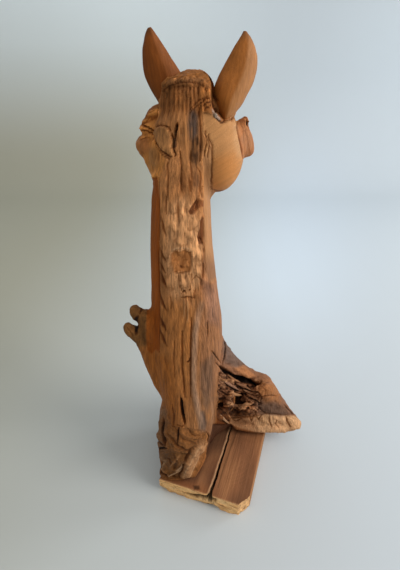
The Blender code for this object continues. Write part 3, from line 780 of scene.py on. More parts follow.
ISLAND_RADIUS = 2.6
island = ease(ISLAND_RADIUS * 1.5, ISLAND_RADIUS * 0.6, np.hypot(across - ISLAND[0], down - ISLAND[1]))
for middle_across, middle_down, radius, spared in ((238.5, 399.6, 6.6, island), (220.4, 405, 4.2, 0.0)):
    gap = np.hypot((across - middle_across) / 1.1, down - middle_down) + 1.5 * np.clip(crumbs, -1.5, 1.5)
    pit = ease(radius, radius * 0.6, gap) * workable * (1.0 - spared)
    push -= 0.0065 * pit
    add_painted_shade(0.90 * pit)
# Painted shade under the rim's overhang and on the web's top beneath it.
UNDER_RIM = ((226, 403), (236, 409), (246, 409), (253, 412.4), (250, 415.4), (236, 415.4), (228, 414))
add_painted_shade(0.85 * zone(UNDER_RIM, 1.6, flare))
WEB_TOP = ((216.5, 408), (226, 411), (231, 419), (229, 426), (216, 426))
add_painted_shade(0.62 * zone(WEB_TOP, 1.6, root_side))
PIT_EDGE = ((246, 400), (253, 403), (254, 409), (247, 409), (244, 405))
lay((168, 112, 72), 0.8 * zone(PIT_EDGE, 1.2, flare))
crust = rough(across / 4.6, down / 3.4, deep * 40.0, 63, 4)
outer = flare * (1.0 - rim) * (1.0 - torn)
push += 0.0012 * outer * crust
# Painted shade in the crust's low parts.
add_painted_shade(0.5 * outer * ease(-0.5, -1.1, crust))
mottle(0.16 * outer * ease(0.3, 1.0, crust))
knobby = rough(across / 6.0, down / 5.0, deep * 20.0, 61, 3)
push += 0.0020 * rim * knobby
mottle(0.14 * rim * knobby)
RIM_LUMPS = (
    (((234, 369), (241, 371.6), (250, 377)), 3.0, 0.0020, None),
    (((273, 420), (280, 418), (285, 422)), 5.0, 0.0030, (206, 156, 112)),
    (((290, 419), (296, 422), (301, 424)), 4.5, 0.0012, (214, 164, 118)),
    (((262, 418), (266, 422), (263, 427)), 3.6, 0.0022, (196, 146, 100)),
)
RIM_CUTS = (
    (((286.6, 416), (287.4, 421), (291, 427)), 1.2, 0.0024, 0.55),
    (((248, 413), (251, 419.6), (255, 414.6)), 0.9, 0.0018, 0.7),
    (((255, 412), (258.4, 420), (262, 414.4)), 0.9, 0.0018, 0.65),
    (((231, 418), (236, 422), (243, 417)), 0.9, 0.0014, 0.6),
    (((269, 416), (269.6, 422), (271.4, 429)), 1.1, 0.0022, 0.5),
)
for line, half, rise, colour in RIM_LUMPS:
    lift(line, half, rise, colour)
for line, half, depth, dark in RIM_CUTS:
    cut(line, half, depth, dark)

# Foot, burl and knob: lumpy, layered wood of the root.
lumps = rough(across / 8.0, down / 8.0, deep * 40.0, 71, 3)
push += 0.0024 * foot * lumps + 0.0016 * knob * lumps
mottle(0.14 * np.maximum(foot, knob) * lumps)
layers = noise(across / 12.0, (down + 0.25 * across) / 2.4, deep * 30.0, 81)
strata = burl * ease(146, 134, down)
push += 0.0022 * strata * layers + 0.0010 * burl * lumps
# Painted shade in the low layers of the strata.
add_painted_shade(0.62 * strata * ease(0.0, -0.6, layers))
mottle(0.2 * strata * ease(0.1, 0.7, layers))
left_side = ease(0.35, 0.0, facing) * ease(0.30, 0.10, width_share)
left_side *= ease(182, 200, down) * ease(312, 296, down)
push += 0.0016 * left_side * near_side


# The face and all that the view does not show: plain carving in keeping with the rest. Each eye is
# a ball in a shallow ring, each nostril a pit with a raised edge, and a combed forelock lies between.
# The rings, pits, mouth and the forelock's partings are darkened with painted shade.
def place(right, ahead, up):
    """Figure's millimetres (to the horse's right, ahead of it, up from the plinth) as a world point."""
    return (ACROSS * right + AHEAD * ahead + UP * up) / 1000.0 + UP * BOARD_TOP


POLL = np.array([-43.0, -12.0, 528.0])
HEAD_LENGTH = 238.0
DROP = math.radians(58.0)
YAW = math.radians(7.3)
nose_way = np.array([-math.cos(DROP) * math.sin(YAW), math.cos(DROP) * math.cos(YAW), -math.sin(DROP)])
cheek_way = np.array([math.cos(YAW), math.sin(YAW), 0.0])
brow_way = np.cross(cheek_way, nose_way)


def on_head(share, aside, rise):
    """A point of the head: its share of the way from poll to lips, then millimetres aside and out."""
    return place(*(POLL + nose_way * share * HEAD_LENGTH + cheek_way * aside + brow_way * rise))


def to_path(line):
    """Least distance in metres from each body point to a path through world points."""
    best = np.full(len(points), 1e9)
    for start, end in zip(line[:-1], line[1:]):
        step = end - start
        along = np.clip((points - start) @ step / (step @ step), 0.0, 1.0)
        best = np.minimum(best, np.linalg.norm(points - start - along[:, None] * step, axis=1))
    return best


def from_surface(aim):
    """Millimetres from each body point to the body point nearest an aimed spot."""
    nearest = points[np.argmin(np.linalg.norm(points - aim, axis=1))]
    return np.linalg.norm(points - nearest, axis=1) * 1000.0


hidden = 1.0 - np.clip(seen + flare, 0.0, 1.0)
push += 0.0006 * hidden * noise(side * 70.0, deep * 70.0, height * 26.0, 91)
EYE_RING = 8.6
LID_RING = 12.4
NOSTRIL_EDGE = 9.0
for hand in (-1.0, 1.0):
    from_eye = from_surface(on_head(0.31, hand * 60.0, 14.0))
    push += 0.0026 * ease(8.0, 2.0, from_eye) * hidden
    push -= 0.0015 * ease(2.2, 0.4, np.abs(from_eye - EYE_RING)) * hidden
    push += 0.0008 * ease(4.4, 0.6, np.abs(from_eye - LID_RING)) * hidden
    add_painted_shade(0.55 * ease(1.8, 0.4, np.abs(from_eye - EYE_RING)) * hidden)
    from_nostril = from_surface(on_head(0.945, hand * 24.0, 8.0))
    push -= 0.0050 * ease(6.5, 2.0, from_nostril)
    push += 0.0016 * ease(3.2, 0.6, np.abs(from_nostril - NOSTRIL_EDGE))
    add_painted_shade(0.8 * ease(6.0, 2.5, from_nostril))
    crest = [
        on_head(0.38, hand * 40.0, 8.0), on_head(0.55, hand * 27.0, 8.0), on_head(0.72, hand * 22.0, 6.0),
    ]
    push += 0.0020 * ease(0.012, 0.003, to_path(crest))
mouth = to_path([
    on_head(0.80, 28.0, -12.0), on_head(0.93, 24.0, -15.0), on_head(1.01, 0.0, -14.0),
    on_head(0.93, -24.0, -15.0), on_head(0.80, -28.0, -12.0),
])
push -= 0.0020 * ease(0.0032, 0.0008, mouth)
add_painted_shade(0.6 * ease(0.0030, 0.0010, mouth))
forelock = to_path([on_head(-0.02, 0.0, 24.0), on_head(0.14, 3.0, 31.0), on_head(0.30, -2.0, 30.0)])
FORELOCK_LENGTH = 0.080
lock_share = np.clip((POLL[2] / 1000.0 - height) / FORELOCK_LENGTH, 0.0, 1.0)
combed = noise(side * 420.0, lock_share * 2.0, 0.0, 95)
lock = ease(0.019, 0.010, forelock) * hidden
push += 0.0024 * lock + 0.0014 * lock * (1.0 - 2.0 * np.abs(combed))
add_painted_shade(0.35 * lock * ease(0.5, 0.9, np.abs(combed)))

# The notch for the right ear is cut back, and the crown's end and the toe are trimmed to their
# edges on the sheet: what lies past an edge moves back by its distance, times SHEET_STEP metres.
EAR_NOTCH = ((211.6, 64), (222, 70), (232, 96), (234, 108), (224, 119), (215, 112), (212, 96))
NOTCH_DEPTH = 0.012
notch = zone(EAR_NOTCH, 2.0)
lay((134, 84, 42), 0.5 * notch)
SHEET_STEP = 0.00072
CROWN_END = ((64, 199), (70, 202.5), (74, 206), (78, 208.6), (83, 210.4), (100, 211))
TOE_EDGE = ((440, 210.5), (450, 208), (460, 203.5), (470, 198), (480, 193), (488, 189))
beside_ear = ease(60, 66, down) * ease(108, 94, down) * ease(0.050, 0.035, deep)
beside_toe = ease(438, 448, down) * ease(0.060, 0.040, deep)
overhang = np.zeros(len(points))
for edge, most, beside in ((CROWN_END, 16.0, beside_ear), (TOE_EDGE, 14.0, beside_toe)):
    overhang += SHEET_STEP * np.clip(across - np.interp(down, *zip(*edge)), 0.0, most) * beside

# The underside stays flat on the plinth.
push *= ease(0.0005, 0.004, height)
points = points + normals * push[:, None]
points = points * 0.75 + relax(points, links, 1) * 0.25
points = points - ACROSS * overhang[:, None] - toward * (NOTCH_DEPTH * notch)[:, None]
points[:, 2] += RIM_LIFT * under_rim + WEB_LIFT * under_web - CORNER_DROP * flare_corner
points[:, 2] = np.maximum(points[:, 2], BOARD_TOP)
write_points(body, points)
points, normals = read_mesh(body)

# Painted shade darkens the hollows and a painted highlight lightens the ridges: the bend of the surface
# at two sizes.
bend = ((neighbour_mean(points, links) - points) * normals).sum(1)
wide_mean = points
for _ in range(12):
    wide_mean = neighbour_mean(wide_mean, links)
wide_bend = ((wide_mean - points) * normals).sum(1)
add_painted_shade(0.62 * ease(0.00010, 0.0006, bend))
add_painted_shade(0.55 * ease(0.0006, 0.0030, wide_bend))
mottle(0.22 * ease(0.0001, 0.0006, -bend))
streak = rough(side * 260.0, deep * 260.0, height * 9.0, 101, 3)
blotch = rough(side * 22.0, deep * 22.0, height * 14.0, 111, 3)
mottle(0.09 * np.clip(streak, -1.5, 1.5) * fibre)
mottle(0.08 * blotch)

# Year rings arc over the cut cheek, and finer streaks run down the two smooth bands of the neck.
RING_MIDDLE = (136.0, 25.0)
arc = np.hypot(across - RING_MIDDLE[0], down - RING_MIDDLE[1])
rings = noise(arc / 2.6, down / 60.0, 0.0, 131)
rings += 0.8 * noise(arc / 6.5, down / 60.0, 0.0, 133)
mottle(0.06 * cheek * rings)
band_streak = noise(across / 1.6, down / 42.0, 0.0, 141)
mottle(0.16 * (left_band + 0.5 * right_band) * band_streak)

# Painted shade turns the wood brown first, and black where it is deepest.
SHADE_BROWN = np.array([0.42, 0.30, 0.18])
DEEP_SHADE = 0.65
brown = np.clip(painted_shade / DEEP_SHADE, 0.0, 1.0)[:, None]
tint = tint * (1.0 - brown) + tint * SHADE_BROWN * brown
black = np.clip((painted_shade - DEEP_SHADE) / (1.0 - DEEP_SHADE), 0.0, 1.0)[:, None]
tint = np.clip(tint * (1.0 - 0.93 * black) + 0.0015 * black, 0.0, 1.0)

# Grain runs up the neck, wavering a little, and in arcs that rise to the right on the cheek.
waver = 0.0016 * noise(side * 40.0, deep * 40.0, height * 24.0, 121)
grain = np.stack([side + waver, deep, height * 0.09], 1)
grain_cheek = np.stack([arc * 0.0014, deep * 0.1, np.zeros(len(points))], 1)
grain = np.where(cheek[:, None] > 0.5, grain_cheek, grain)
knurl = np.stack([side * 0.6, deep * 0.6, height * 0.5], 1)
grain = np.where((np.maximum(foot, torn) > 0.5)[:, None], knurl, grain)


def give_attribute(obj, name, kind, values):
    """Store one colour, vector or number for each vertex."""
    layer = obj.data.attributes.new(name, kind, "POINT")
    if kind == "FLOAT_COLOR":
        values = np.concatenate([values, np.ones((len(values), 1))], 1)
    field = {"FLOAT_COLOR": "color", "FLOAT_VECTOR": "vector", "FLOAT": "value"}[kind]
    layer.data.foreach_set(field, np.asarray(values, np.float32).ravel())


def dress(obj, tint, grain, fibre):
    """Give a piece the three attributes that the wood materials read."""
    give_attribute(obj, "tint", "FLOAT_COLOR", np.clip(tint, 0.0, 1.0))
    give_attribute(obj, "grain", "FLOAT_VECTOR", grain)
    give_attribute(obj, "fibre", "FLOAT", fibre)


def shader_node(material, kind, inputs, **settings):
    """Add one shader node with its own settings and its inputs."""
    node = material.node_tree.nodes.new("ShaderNode" + kind)
    for key, value in settings.items():
        setattr(node, key, value)
    fill_inputs(material, node, inputs)
    return node


def fill_inputs(material, node, inputs):
    """Wire another node's output to an input, or leave a number or colour on it."""
    for key, value in inputs.items():
        if isinstance(value, bpy.types.NodeSocket):
            material.node_tree.links.new(value, node.inputs[key])
        else:
            node.inputs[key].default_value = value


def new_material(name):
    """An empty material and its one shader."""
    material = bpy.data.materials.new(name)
    material.use_nodes = True
    return material, material.node_tree.nodes["Principled BSDF"]


def wood_material(name, roughness, fineness, relief, contrast):
    """Wood in the piece's own tint, with streaks along its grain that shade and lift the surface:
    one noise stretched along the grain for the streaks, one even noise for the pores."""
    material, shader = new_material(name)
    tint, grain, fibre = [
        shader_node(material, "Attribute", {}, attribute_name=kind) for kind in ("tint", "grain", "fibre")
    ]
    streaks = shader_node(material, "TexNoise", {
        "Vector": grain.outputs["Vector"], "Scale": fineness, "Detail": 5.0, "Roughness": 0.66,
    }).outputs["Fac"]
    swing = shader_node(material, "MapRange", {
        "Value": streaks, "From Min": 0.30, "From Max": 0.70, "To Min": -1.0, "To Max": 1.0,
    }).outputs["Result"]
    strength = shader_node(
        material, "Math", {0: swing, 1: fibre.outputs["Fac"]}, operation="MULTIPLY"
    ).outputs["Value"]
    level = shader_node(
        material, "Math", {0: strength, 1: contrast, 2: 1.0}, operation="MULTIPLY_ADD"
    ).outputs["Value"]
    shade = shader_node(material, "VectorMath", {0: tint.outputs["Color"], "Scale": level}, operation="SCALE")
    coords = shader_node(material, "TexCoord", {})
    pores = shader_node(material, "TexNoise", {
        "Vector": coords.outputs["Object"], "Scale": 800.0, "Detail": 3.0,
    })
    height = shader_node(
        material, "Math", {0: pores.outputs["Fac"], 1: 0.5, 2: strength}, operation="MULTIPLY_ADD"
    ).outputs["Value"]
    bump = shader_node(material, "Bump", {"Distance": relief, "Height": height})
    gloss = shader_node(material, "MapRange", {
        "Value": streaks, "To Min": roughness - 0.10, "To Max": roughness + 0.12,
    })
    fill_inputs(material, shader, {
        "Base Color": shade.outputs["Vector"], "Normal": bump.outputs["Normal"],
        "Roughness": gloss.outputs["Result"], "Specular IOR Level": 0.12,
    })
    return material


dress(body, tint, grain, fibre)
body.data.materials.append(wood_material("waxed_root_wood", 0.62, 380.0, 0.0008, 0.46))
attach(body, "root")
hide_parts("sculpture")

# Ears: two leaves carved apart from the same wood and glued into notches beside the poll.
# Each has a soft ridge down its back and a scooped front, and was sanded smooth.
EAR_ROWS = 90
EAR_STEPS = 96
EASE_ROWS = 7


def new_piece(name, spots, faces):
    """Link a smooth mesh from points in world metres, with its faces turned outwards."""
    piece_mesh = bpy.data.meshes.new(name)
    piece_mesh.from_pydata(spots.tolist(), [], faces)
    turning = bmesh.new()
    turning.from_mesh(piece_mesh)
    bmesh.ops.recalc_face_normals(turning, faces=turning.faces)
    turning.to_mesh(piece_mesh)
    turning.free()
    piece_mesh.shade_smooth()
    piece = bpy.data.objects.new(name, piece_mesh)
    bpy.context.scene.collection.objects.link(piece)
    return piece


def tube_faces(rows, columns):
    """Quads round a grid of points kept row by row, each row a closed ring."""
    row, column = np.meshgrid(np.arange(rows - 1), np.arange(columns), indexing="ij")
    start = row * columns + column
    beside = row * columns + (column + 1) % columns
    return np.stack([start, beside, beside + columns, start + columns], -1).reshape(-1, 4).tolist()


def capped(rings):
    """Points and faces of a tube of rings closed at both ends by a fan to the end's middle."""
    rows, columns = rings.shape[:2]
    spots = np.vstack([rings.reshape(-1, 3), rings[0].mean(0), rings[-1].mean(0)])
    faces = tube_faces(rows, columns)
    last = (rows - 1) * columns
    for column in range(columns):
        after = (column + 1) % columns
        faces.append((column, after, rows * columns))
        faces.append((last + column, last + after, rows * columns + 1))
    return spots, faces


def make_ear(name, table, base, tip, lean, tones, seed):
    """Rings along the ear's axis: a 12-point leaf outline from the table's left, right, ridge,
    back, front and scoop in millimetres, eased between its points and between its rows."""
    table = np.array(table, float)
    base = np.array(base)
    tip = np.array(tip)
    axis = (tip - base) / np.linalg.norm(tip - base)
    shares = np.linspace(0.0, 1.0, EAR_ROWS) ** 0.8
    columns = np.array([np.interp(shares, table[:, 0], table[:, i]) for i in range(1, 7)])
    kernel = np.hanning(2 * EASE_ROWS + 3)[1:-1]
    kernel /= kernel.sum()
    padded = np.pad(columns, ((0, 0), (EASE_ROWS, EASE_ROWS)), mode="reflect", reflect_type="odd")
    left, right, ridge, back, front, scooped = [np.convolve(row, kernel, mode="valid") for row in padded]
    outline = np.array([
        [left, left * 0.0], [left * 0.72 + ridge * 0.28, back * 0.60],
        [left * 0.36 + ridge * 0.64, back * 0.92], [ridge, back],
        [right * 0.36 + ridge * 0.64, back * 0.88], [right * 0.72 + ridge * 0.28, back * 0.56],
        [right, right * 0.0], [right * 0.86 + left * 0.14, -front * 0.75],
        [right * 0.66 + left * 0.34, -front + scooped * 0.7], [right * 0.5 + left * 0.5, -front + scooped],
        [right * 0.34 + left * 0.66, -front + scooped * 0.7], [right * 0.14 + left * 0.86, -front * 0.75],
    ])
    turn = np.linspace(0.0, 12.0, EAR_STEPS, endpoint=False)
    lower = np.floor(turn).astype(int)
    part = (turn - lower)[:, None, None]
    around = outline[lower % 12] * (1.0 - part) + outline[(lower + 1) % 12] * part
    for _ in range(4):
        around = 0.25 * np.roll(around, 1, 0) + 0.5 * around + 0.25 * np.roll(around, -1, 0)
    around = np.transpose(around, (2, 0, 1))
    wide = np.array([math.cos(lean), math.sin(lean), 0.0])
    wide -= axis * (wide @ axis)
    wide /= np.linalg.norm(wide)
    thick = np.cross(axis, wide)
    spine = base + (tip - base) * shares[:, None]
    rings = spine[:, None] + around[..., :1] * wide - around[..., 1:] * thick
    ear = new_piece(name, *capped(place(rings[..., :1], rings[..., 1:2], rings[..., 2:])))
    spots, out = read_mesh(ear)
    along = np.concatenate([np.repeat(shares, EAR_STEPS), [0.0, 1.0]])
    offset = np.concatenate([around[..., 0].ravel(), [0.0, 0.0]])
    ridge_at = np.concatenate([np.repeat(ridge, EAR_STEPS), [0.0, 0.0]])
    waves = rough(offset / 5.0, along * 5.0, out @ AHEAD, seed, 3)
    spots = spots + out * (0.00035 * waves * ease(0.02, 0.1, along))[:, None]
    write_points(ear, spots)
    # Painted light and shade: dark left of the ridge and light right of it, as if lit from the view's right.
    dark, lit_side, end = tones
    tint = cover(np.tile(paint(*dark), (len(spots), 1)), lit_side, ease(-2.4, 1.6, offset - ridge_at))
    streaky = rough(offset / 1.6, along * 4.0, out @ AHEAD * 0.4, seed + 5, 3)
    tint = tint * (1.0 + 0.10 * np.clip(streaky, -1.4, 1.4))[:, None]
    blotches = rough(offset / 9.0, along * 6.0, out @ AHEAD, seed + 9, 2)
    tint = tint * (1.0 + 0.10 * blotches)[:, None]
    tint = cover(tint, end, 0.7 * ease(0.88, 1.0, along))
    # Darker towards the ear's edges, away from its ridge.
    breadth = np.concatenate([np.repeat(right - left, EAR_STEPS), [1, 1]])
    edge_share = np.abs(offset - ridge_at) / np.maximum(breadth, 1)
    tint = tint * (1.0 - 0.18 * ease(0.42, 0.60, edge_share))[:, None]
    flow = np.stack([offset / 1000.0, spots @ AHEAD, along * 0.006], 1)
    dress(ear, tint, flow, np.full(len(spots), 0.6))
    ear.data.materials.append(wood_material(name + "_wood", 0.55, 500.0, 0.0002, 0.22))
    return ear


# Share up the ear, then left, right, ridge, back, front and scoop in millimetres.
LEFT_LEAF = (
    (0.00, -4, 9, 5, 6, 5, 0), (0.10, -6, 16, 7, 8, 6, 0), (0.24, -10, 22, 9, 9, 7, 0),
    (0.38, -14, 24, 9, 9.5, 7, 5), (0.52, -15.8, 19.4, 8, 9, 6, 7), (0.66, -14.6, 14.6, 5.5, 8, 5.5, 8),
    (0.79, -11.5, 9.6, 4, 6.5, 5, 6), (0.90, -7.3, 6.0, 1.5, 4.6, 3.6, 3.6),
    (0.96, -4.4, 3.8, 0.8, 3.2, 2.4, 2), (1.00, -1.4, 1.4, 0.3, 1.6, 1.2, 0.6),
)
LEFT_BASE = (-74.0, -8.0, 512.0)
LEFT_TIP = (-88.0, -6.0, 585.5)
# Each ear's colours: its side in painted shade, its side in painted light, and its tip.
LEFT_TONES = ((130, 70, 24), (130, 74, 33), (96, 58, 28))
RIGHT_LEAF = (
    (0.00, -3, 3, -1, 9, 4, 0), (0.10, -8.5, 7, -1, 13, 6, 0), (0.17, -14, 10.5, -1, 15, 6, 0),
    (0.24, -17.5, 14, -1, 16, 7, 0), (0.38, -18.8, 17, 2, 15, 7, 3), (0.52, -15.8, 20.2, 5, 12.5, 7, 7),
    (0.66, -12, 20.8, 6.5, 10, 6, 8), (0.79, -8, 18, 6, 7.5, 5, 6), (0.90, -4.4, 12.6, 5, 5, 3.8, 4),
    (0.96, -2.4, 7.6, 3, 3.6, 2.8, 2.4), (1.00, -1.2, 1.8, 0.5, 1.8, 1.4, 0.6),
)
RIGHT_BASE = (-16.0, -20.0, 505.0)
RIGHT_TIP = (1.0, -4.0, 582.5)
RIGHT_TONES = ((154, 92, 38), (166, 112, 66), (120, 76, 44))
for side_name, table, base, tip, lean, tones, seed in (
    ("left", LEFT_LEAF, LEFT_BASE, LEFT_TIP, -6.0, LEFT_TONES, 201),
    ("right", RIGHT_LEAF, RIGHT_BASE, RIGHT_TIP, 6.0, RIGHT_TONES, 211),
):
    ear = make_ear(side_name + "_ear", table, base, tip, math.radians(lean), tones, seed)
    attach(ear, "root")
    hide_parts("ear_" + side_name)

# Plinth: one sawn block of old softwood that the foot is glued on. Its top is worn and stained, its
# rear end is raw split wood, a drying check (a crack along the grain) runs down its length, and its
# rear right corner has broken away.
WIDTH = 0.1407
LENGTH = 0.240
THICK = 0.030
EDGE_WEAR = 0.0016
EDGE_BAND = 0.0012
CHECK_AT = -WIDTH / 2 + 0.058
CHECK_END = -0.088
CHECK_DEPTH = 0.017
CHECK_HALF = ((-0.09, 0.0004), (-0.02, 0.0009), (0.06, 0.0014), (0.112, 0.0019), (0.122, 0.0034))
BREAK_FROM = np.array([-WIDTH / 2, LENGTH / 2 - 0.021])
BREAK_WAY = np.array([-0.80, 0.60])


def block_grid(xs, ys, zs):
    """Points and quads of a box's six faces through the given coordinates, shared along edges."""
    spots = []
    quads = []
    start = 0
    for fixed, value, first, second in (
        (2, zs[0], xs, ys), (2, zs[-1], xs, ys), (1, ys[0], xs, zs), (1, ys[-1], xs, zs),
        (0, xs[0], ys, zs), (0, xs[-1], ys, zs),
    ):
        a, b = np.meshgrid(first, second, indexing="ij")
        grid = np.insert(np.stack([a.ravel(), b.ravel()], 1), fixed, value, axis=1)
        index = np.arange(start, start + a.size).reshape(a.shape)
        corners = [index[:-1, :-1], index[1:, :-1], index[1:, 1:], index[:-1, 1:]]
        quads.append(np.stack(corners, -1).reshape(-1, 4))
        spots.append(grid)
        start += a.size
    keys = np.round(np.concatenate(spots) * 1e6).astype(np.int64)
    unique, where = np.unique(keys, axis=0, return_inverse=True)
    return unique / 1e6, where.ravel()[np.concatenate(quads)].tolist()


# The grid is finer beside the check and at the rear end.
xs = np.concatenate([np.linspace(-WIDTH / 2, WIDTH / 2, 90), CHECK_AT + np.linspace(-0.007, 0.007, 36)])
ys = [np.linspace(-LENGTH / 2, LENGTH / 2, 120), np.linspace(LENGTH / 2 - 0.02, LENGTH / 2, 30)]
zs = np.linspace(0.0, THICK, 26)
spots, quads = block_grid(np.unique(np.round(xs, 6)), np.unique(np.round(np.concatenate(ys), 6)), zs)
on_sheet = sheet_of(spots)
x, y, z = spots.T.copy()
end_side = ease(LENGTH / 2 - EDGE_BAND, LENGTH / 2 - 0.0001, y)
top_side = ease(THICK - EDGE_BAND, THICK - 0.0001, z)
right_side = ease(-WIDTH / 2 + EDGE_BAND, -WIDTH / 2 + 0.0001, x)

# The check wanders along the grain; a pale band runs beside its left lip and its end has opened.
wander = 0.0007 * noise(y * 45.0, 0.0, 0.0, 331)
wander += 0.0004 * noise(y * 170.0, 0.0, 0.0, 333)
half = np.interp(y, *zip(*CHECK_HALF))
opened = ease(half * 1.3, half * 0.8, np.abs(x - CHECK_AT - wander)) * (y > CHECK_END)
lip = ease(0.0024, 0.0004, np.abs(x - CHECK_AT - wander - half - 0.0010)) * (1.0 - opened)

# The rear end gives way where it split: a ragged face, further back along its lower edge.
split = rough(x * 60.0, 0.0, z * 420.0, 311, 3)
ragged = rough(x * 90.0, z * 60.0, 0.0, 321, 3)
recess = 0.0014 + 0.0011 * split
recess += 0.0018 * (1.0 + ragged) * ease(0.010, 0.0, z)
recess += 0.0035 * ease(0.040, 0.068, x) * ease(0.016, 0.0, z)
recess += opened * 0.010 * ease(0.010, 0.018, z)
near_check = ease(0.012, 0.003, np.abs(x - CHECK_AT + 0.002))
recess += 0.0030 * near_check * ease(0.1, 0.6, ragged + 0.2) * ease(0.012, 0.018, z)
VOID = ((184, 493), (196, 495), (207, 497), (216, 500), (215, 503), (205, 500.5), (190, 497))
CORNER_VOID = ((235, 498), (239, 494.6), (242.6, 496), (240, 503), (237, 504))
DENT = ((193, 485), (199, 485), (200, 489), (194, 489))
void = inside(on_sheet, VOID, 0.8) * ease(LENGTH / 2 - 0.004, LENGTH / 2, y) * ease(THICK, THICK - 0.002, z)
recess += 0.006 * void
y = np.minimum(y, LENGTH / 2 - recess)
past = (x - BREAK_FROM[0]) * BREAK_WAY[0] + (y - BREAK_FROM[1]) * BREAK_WAY[1]
chip_noise = rough(x * 140.0, y * 140.0, z * 200.0, 341, 3)
back_off = np.clip(past - 0.0012 * chip_noise + 0.0006 * ease(0.020, 0.002, z), 0.0, None)
x = x - BREAK_WAY[0] * back_off
y = y - BREAK_WAY[1] * back_off
broken = ease(0.0, 0.0015, back_off)

# Worn edges, and fine valleys of washed-out grain on the top.
for flat, limit in ((x, WIDTH / 2), (y, LENGTH / 2)):
    over = np.clip(np.abs(flat) + z - (limit + THICK - EDGE_WEAR), 0.0, None)
    flat -= np.sign(flat) * over * 0.5
    z = z - over * 0.5
washed = np.abs(noise(x * 380.0, y * 9.0, z * 50.0, 301))
z = z - 0.00020 * top_side * washed
z = z - CHECK_DEPTH * top_side * opened
z = z - 0.0006 * inside(on_sheet, DENT, 1.2) * top_side
spots = np.stack([
    np.clip(x, -WIDTH / 2, WIDTH / 2), np.clip(y, -LENGTH / 2, LENGTH / 2), np.clip(z, 0.0, THICK),
], 1)
plinth = new_piece("plinth_block", spots, quads)

# Its colours, each laid over the ones before: the stained top, the pale raw end, the broken corner,
# the sawn side and the worn edges.
left_half = ease(CHECK_AT - 0.001, CHECK_AT + 0.002, x)
rear_edge = ease(LENGTH / 2 - 0.004, LENGTH / 2 - 0.0015, y)
patches = rough(x * 34.0, y * 12.0, 0.0, 351, 3)
crumbly = rough(x * 300.0, y * 300.0, z * 260.0, 343, 3)
tone = np.tile(paint(136, 90, 59), (len(x), 1))
for colour, amount in (
    ((100, 64, 42), 0.85 * left_half * top_side),
    ((158, 108, 70), 0.7 * top_side * ease(0.0, 0.8, patches)),
    ((88, 58, 40), 0.6 * top_side * ease(0.1, -0.8, patches)),
    ((140, 86, 50), 0.6 * top_side * ease(0.098, 0.116, y) * left_half),
    ((76, 50, 36), 0.7 * top_side * left_half * ease(0.070, 0.030, y)),
    ((244, 192, 128), end_side * (1.0 - top_side * 0.5)),
    ((250, 208, 152), 0.6 * end_side * ease(0.1, 0.7, split)),
    ((170, 112, 66), 0.6 * end_side * ease(-0.1, -0.8, split)),
    ((232, 182, 126), 0.9 * broken),
    ((150, 100, 62), 0.7 * np.maximum(broken, end_side) * ease(0.2, 0.9, crumbly)),
    ((170, 120, 78), 0.8 * right_side * (1.0 - broken)),
    ((190, 144, 104), 0.9 * lip * top_side),
    ((186, 138, 94), 0.8 * top_side * rear_edge * (1.0 - left_half * 0.4)),
):
    tone = cover(tone, colour, amount)
saw_lines = noise(x * 240.0, y * 4.0, z * 20.0, 361)
tone = tone * (1.0 + 0.10 * saw_lines * top_side)[:, None]
cross_marks = noise(x * 8.0, y * 300.0, z * 20.0, 371)
tone = tone * (1.0 + 0.05 * cross_marks * top_side)[:, None]
SAWN = ((230, 464), (248, 461), (246, 483), (228, 486))
SAW_MIDDLE = np.array([226.0, 448.0])
SAW_STEP = 3.4
saw_arc = np.hypot(*(on_sheet - SAW_MIDDLE).T) / SAW_STEP
saw_mark = ease(0.16, 0.04, np.abs(saw_arc % 1.0 - 0.5)) * inside(on_sheet, SAWN, 4.0) * top_side
tone = tone * (1.0 + 0.14 * saw_mark)[:, None]
HAIRLINE = ((238, 428), (229, 452), (221, 476), (218, 487))
hair_gap, _ = to_line(on_sheet, HAIRLINE)
tone = tone * (1.0 - 0.45 * ease(0.9, 0.2, hair_gap) * top_side)[:, None]
# Painted shade: the open check, the voids, the dent and the split beside the check darken towards black.
black = np.maximum(opened * np.maximum(top_side, end_side * ease(0.008, 0.014, z)), void)
black = np.maximum(black, 0.75 * inside(on_sheet, DENT, 1.0) * top_side)
black = np.maximum(black, 0.6 * inside(on_sheet, CORNER_VOID, 1.4) * np.maximum(broken, end_side))
black = np.maximum(black, 0.6 * end_side * near_check * ease(0.5, 0.9, ragged + 0.3))
tone = tone * (1.0 - 0.93 * black)[:, None]
dress(plinth, tone, np.stack([x, z, y * 0.035], 1), np.full(len(x), 0.7))
plinth.data.materials.append(wood_material("old_plinth_wood", 0.68, 420.0, 0.0004, 0.24))
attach(plinth, "root")
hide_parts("plinth")

# Splinters: flat slivers of the trunk's own wood that lift off the torn flare and the foot, each
# still held at one end. Each is given by its path on the sheet, then width, thickness and the height
# it stands off the body in metres, and its colour.
splinter_wood = wood_material("splinter_wood", 0.66, 420.0, 0.0003, 0.22)
body_sheet = sheet_of(points)
body_front = (normals * (EYE - points)).sum(1) > 0.0


def seat_at(spot):
    """The body point that the view shows at a place on the sheet."""
    gap = np.where(body_front, np.hypot(body_sheet[:, 0] - spot[0], body_sheet[:, 1] - spot[1]), 1e9)
    close = np.nonzero(gap < max(1.2, gap.min() * 1.5))[0]
    return points[close[np.argmin((points[close] - EYE) @ LOOK)]]


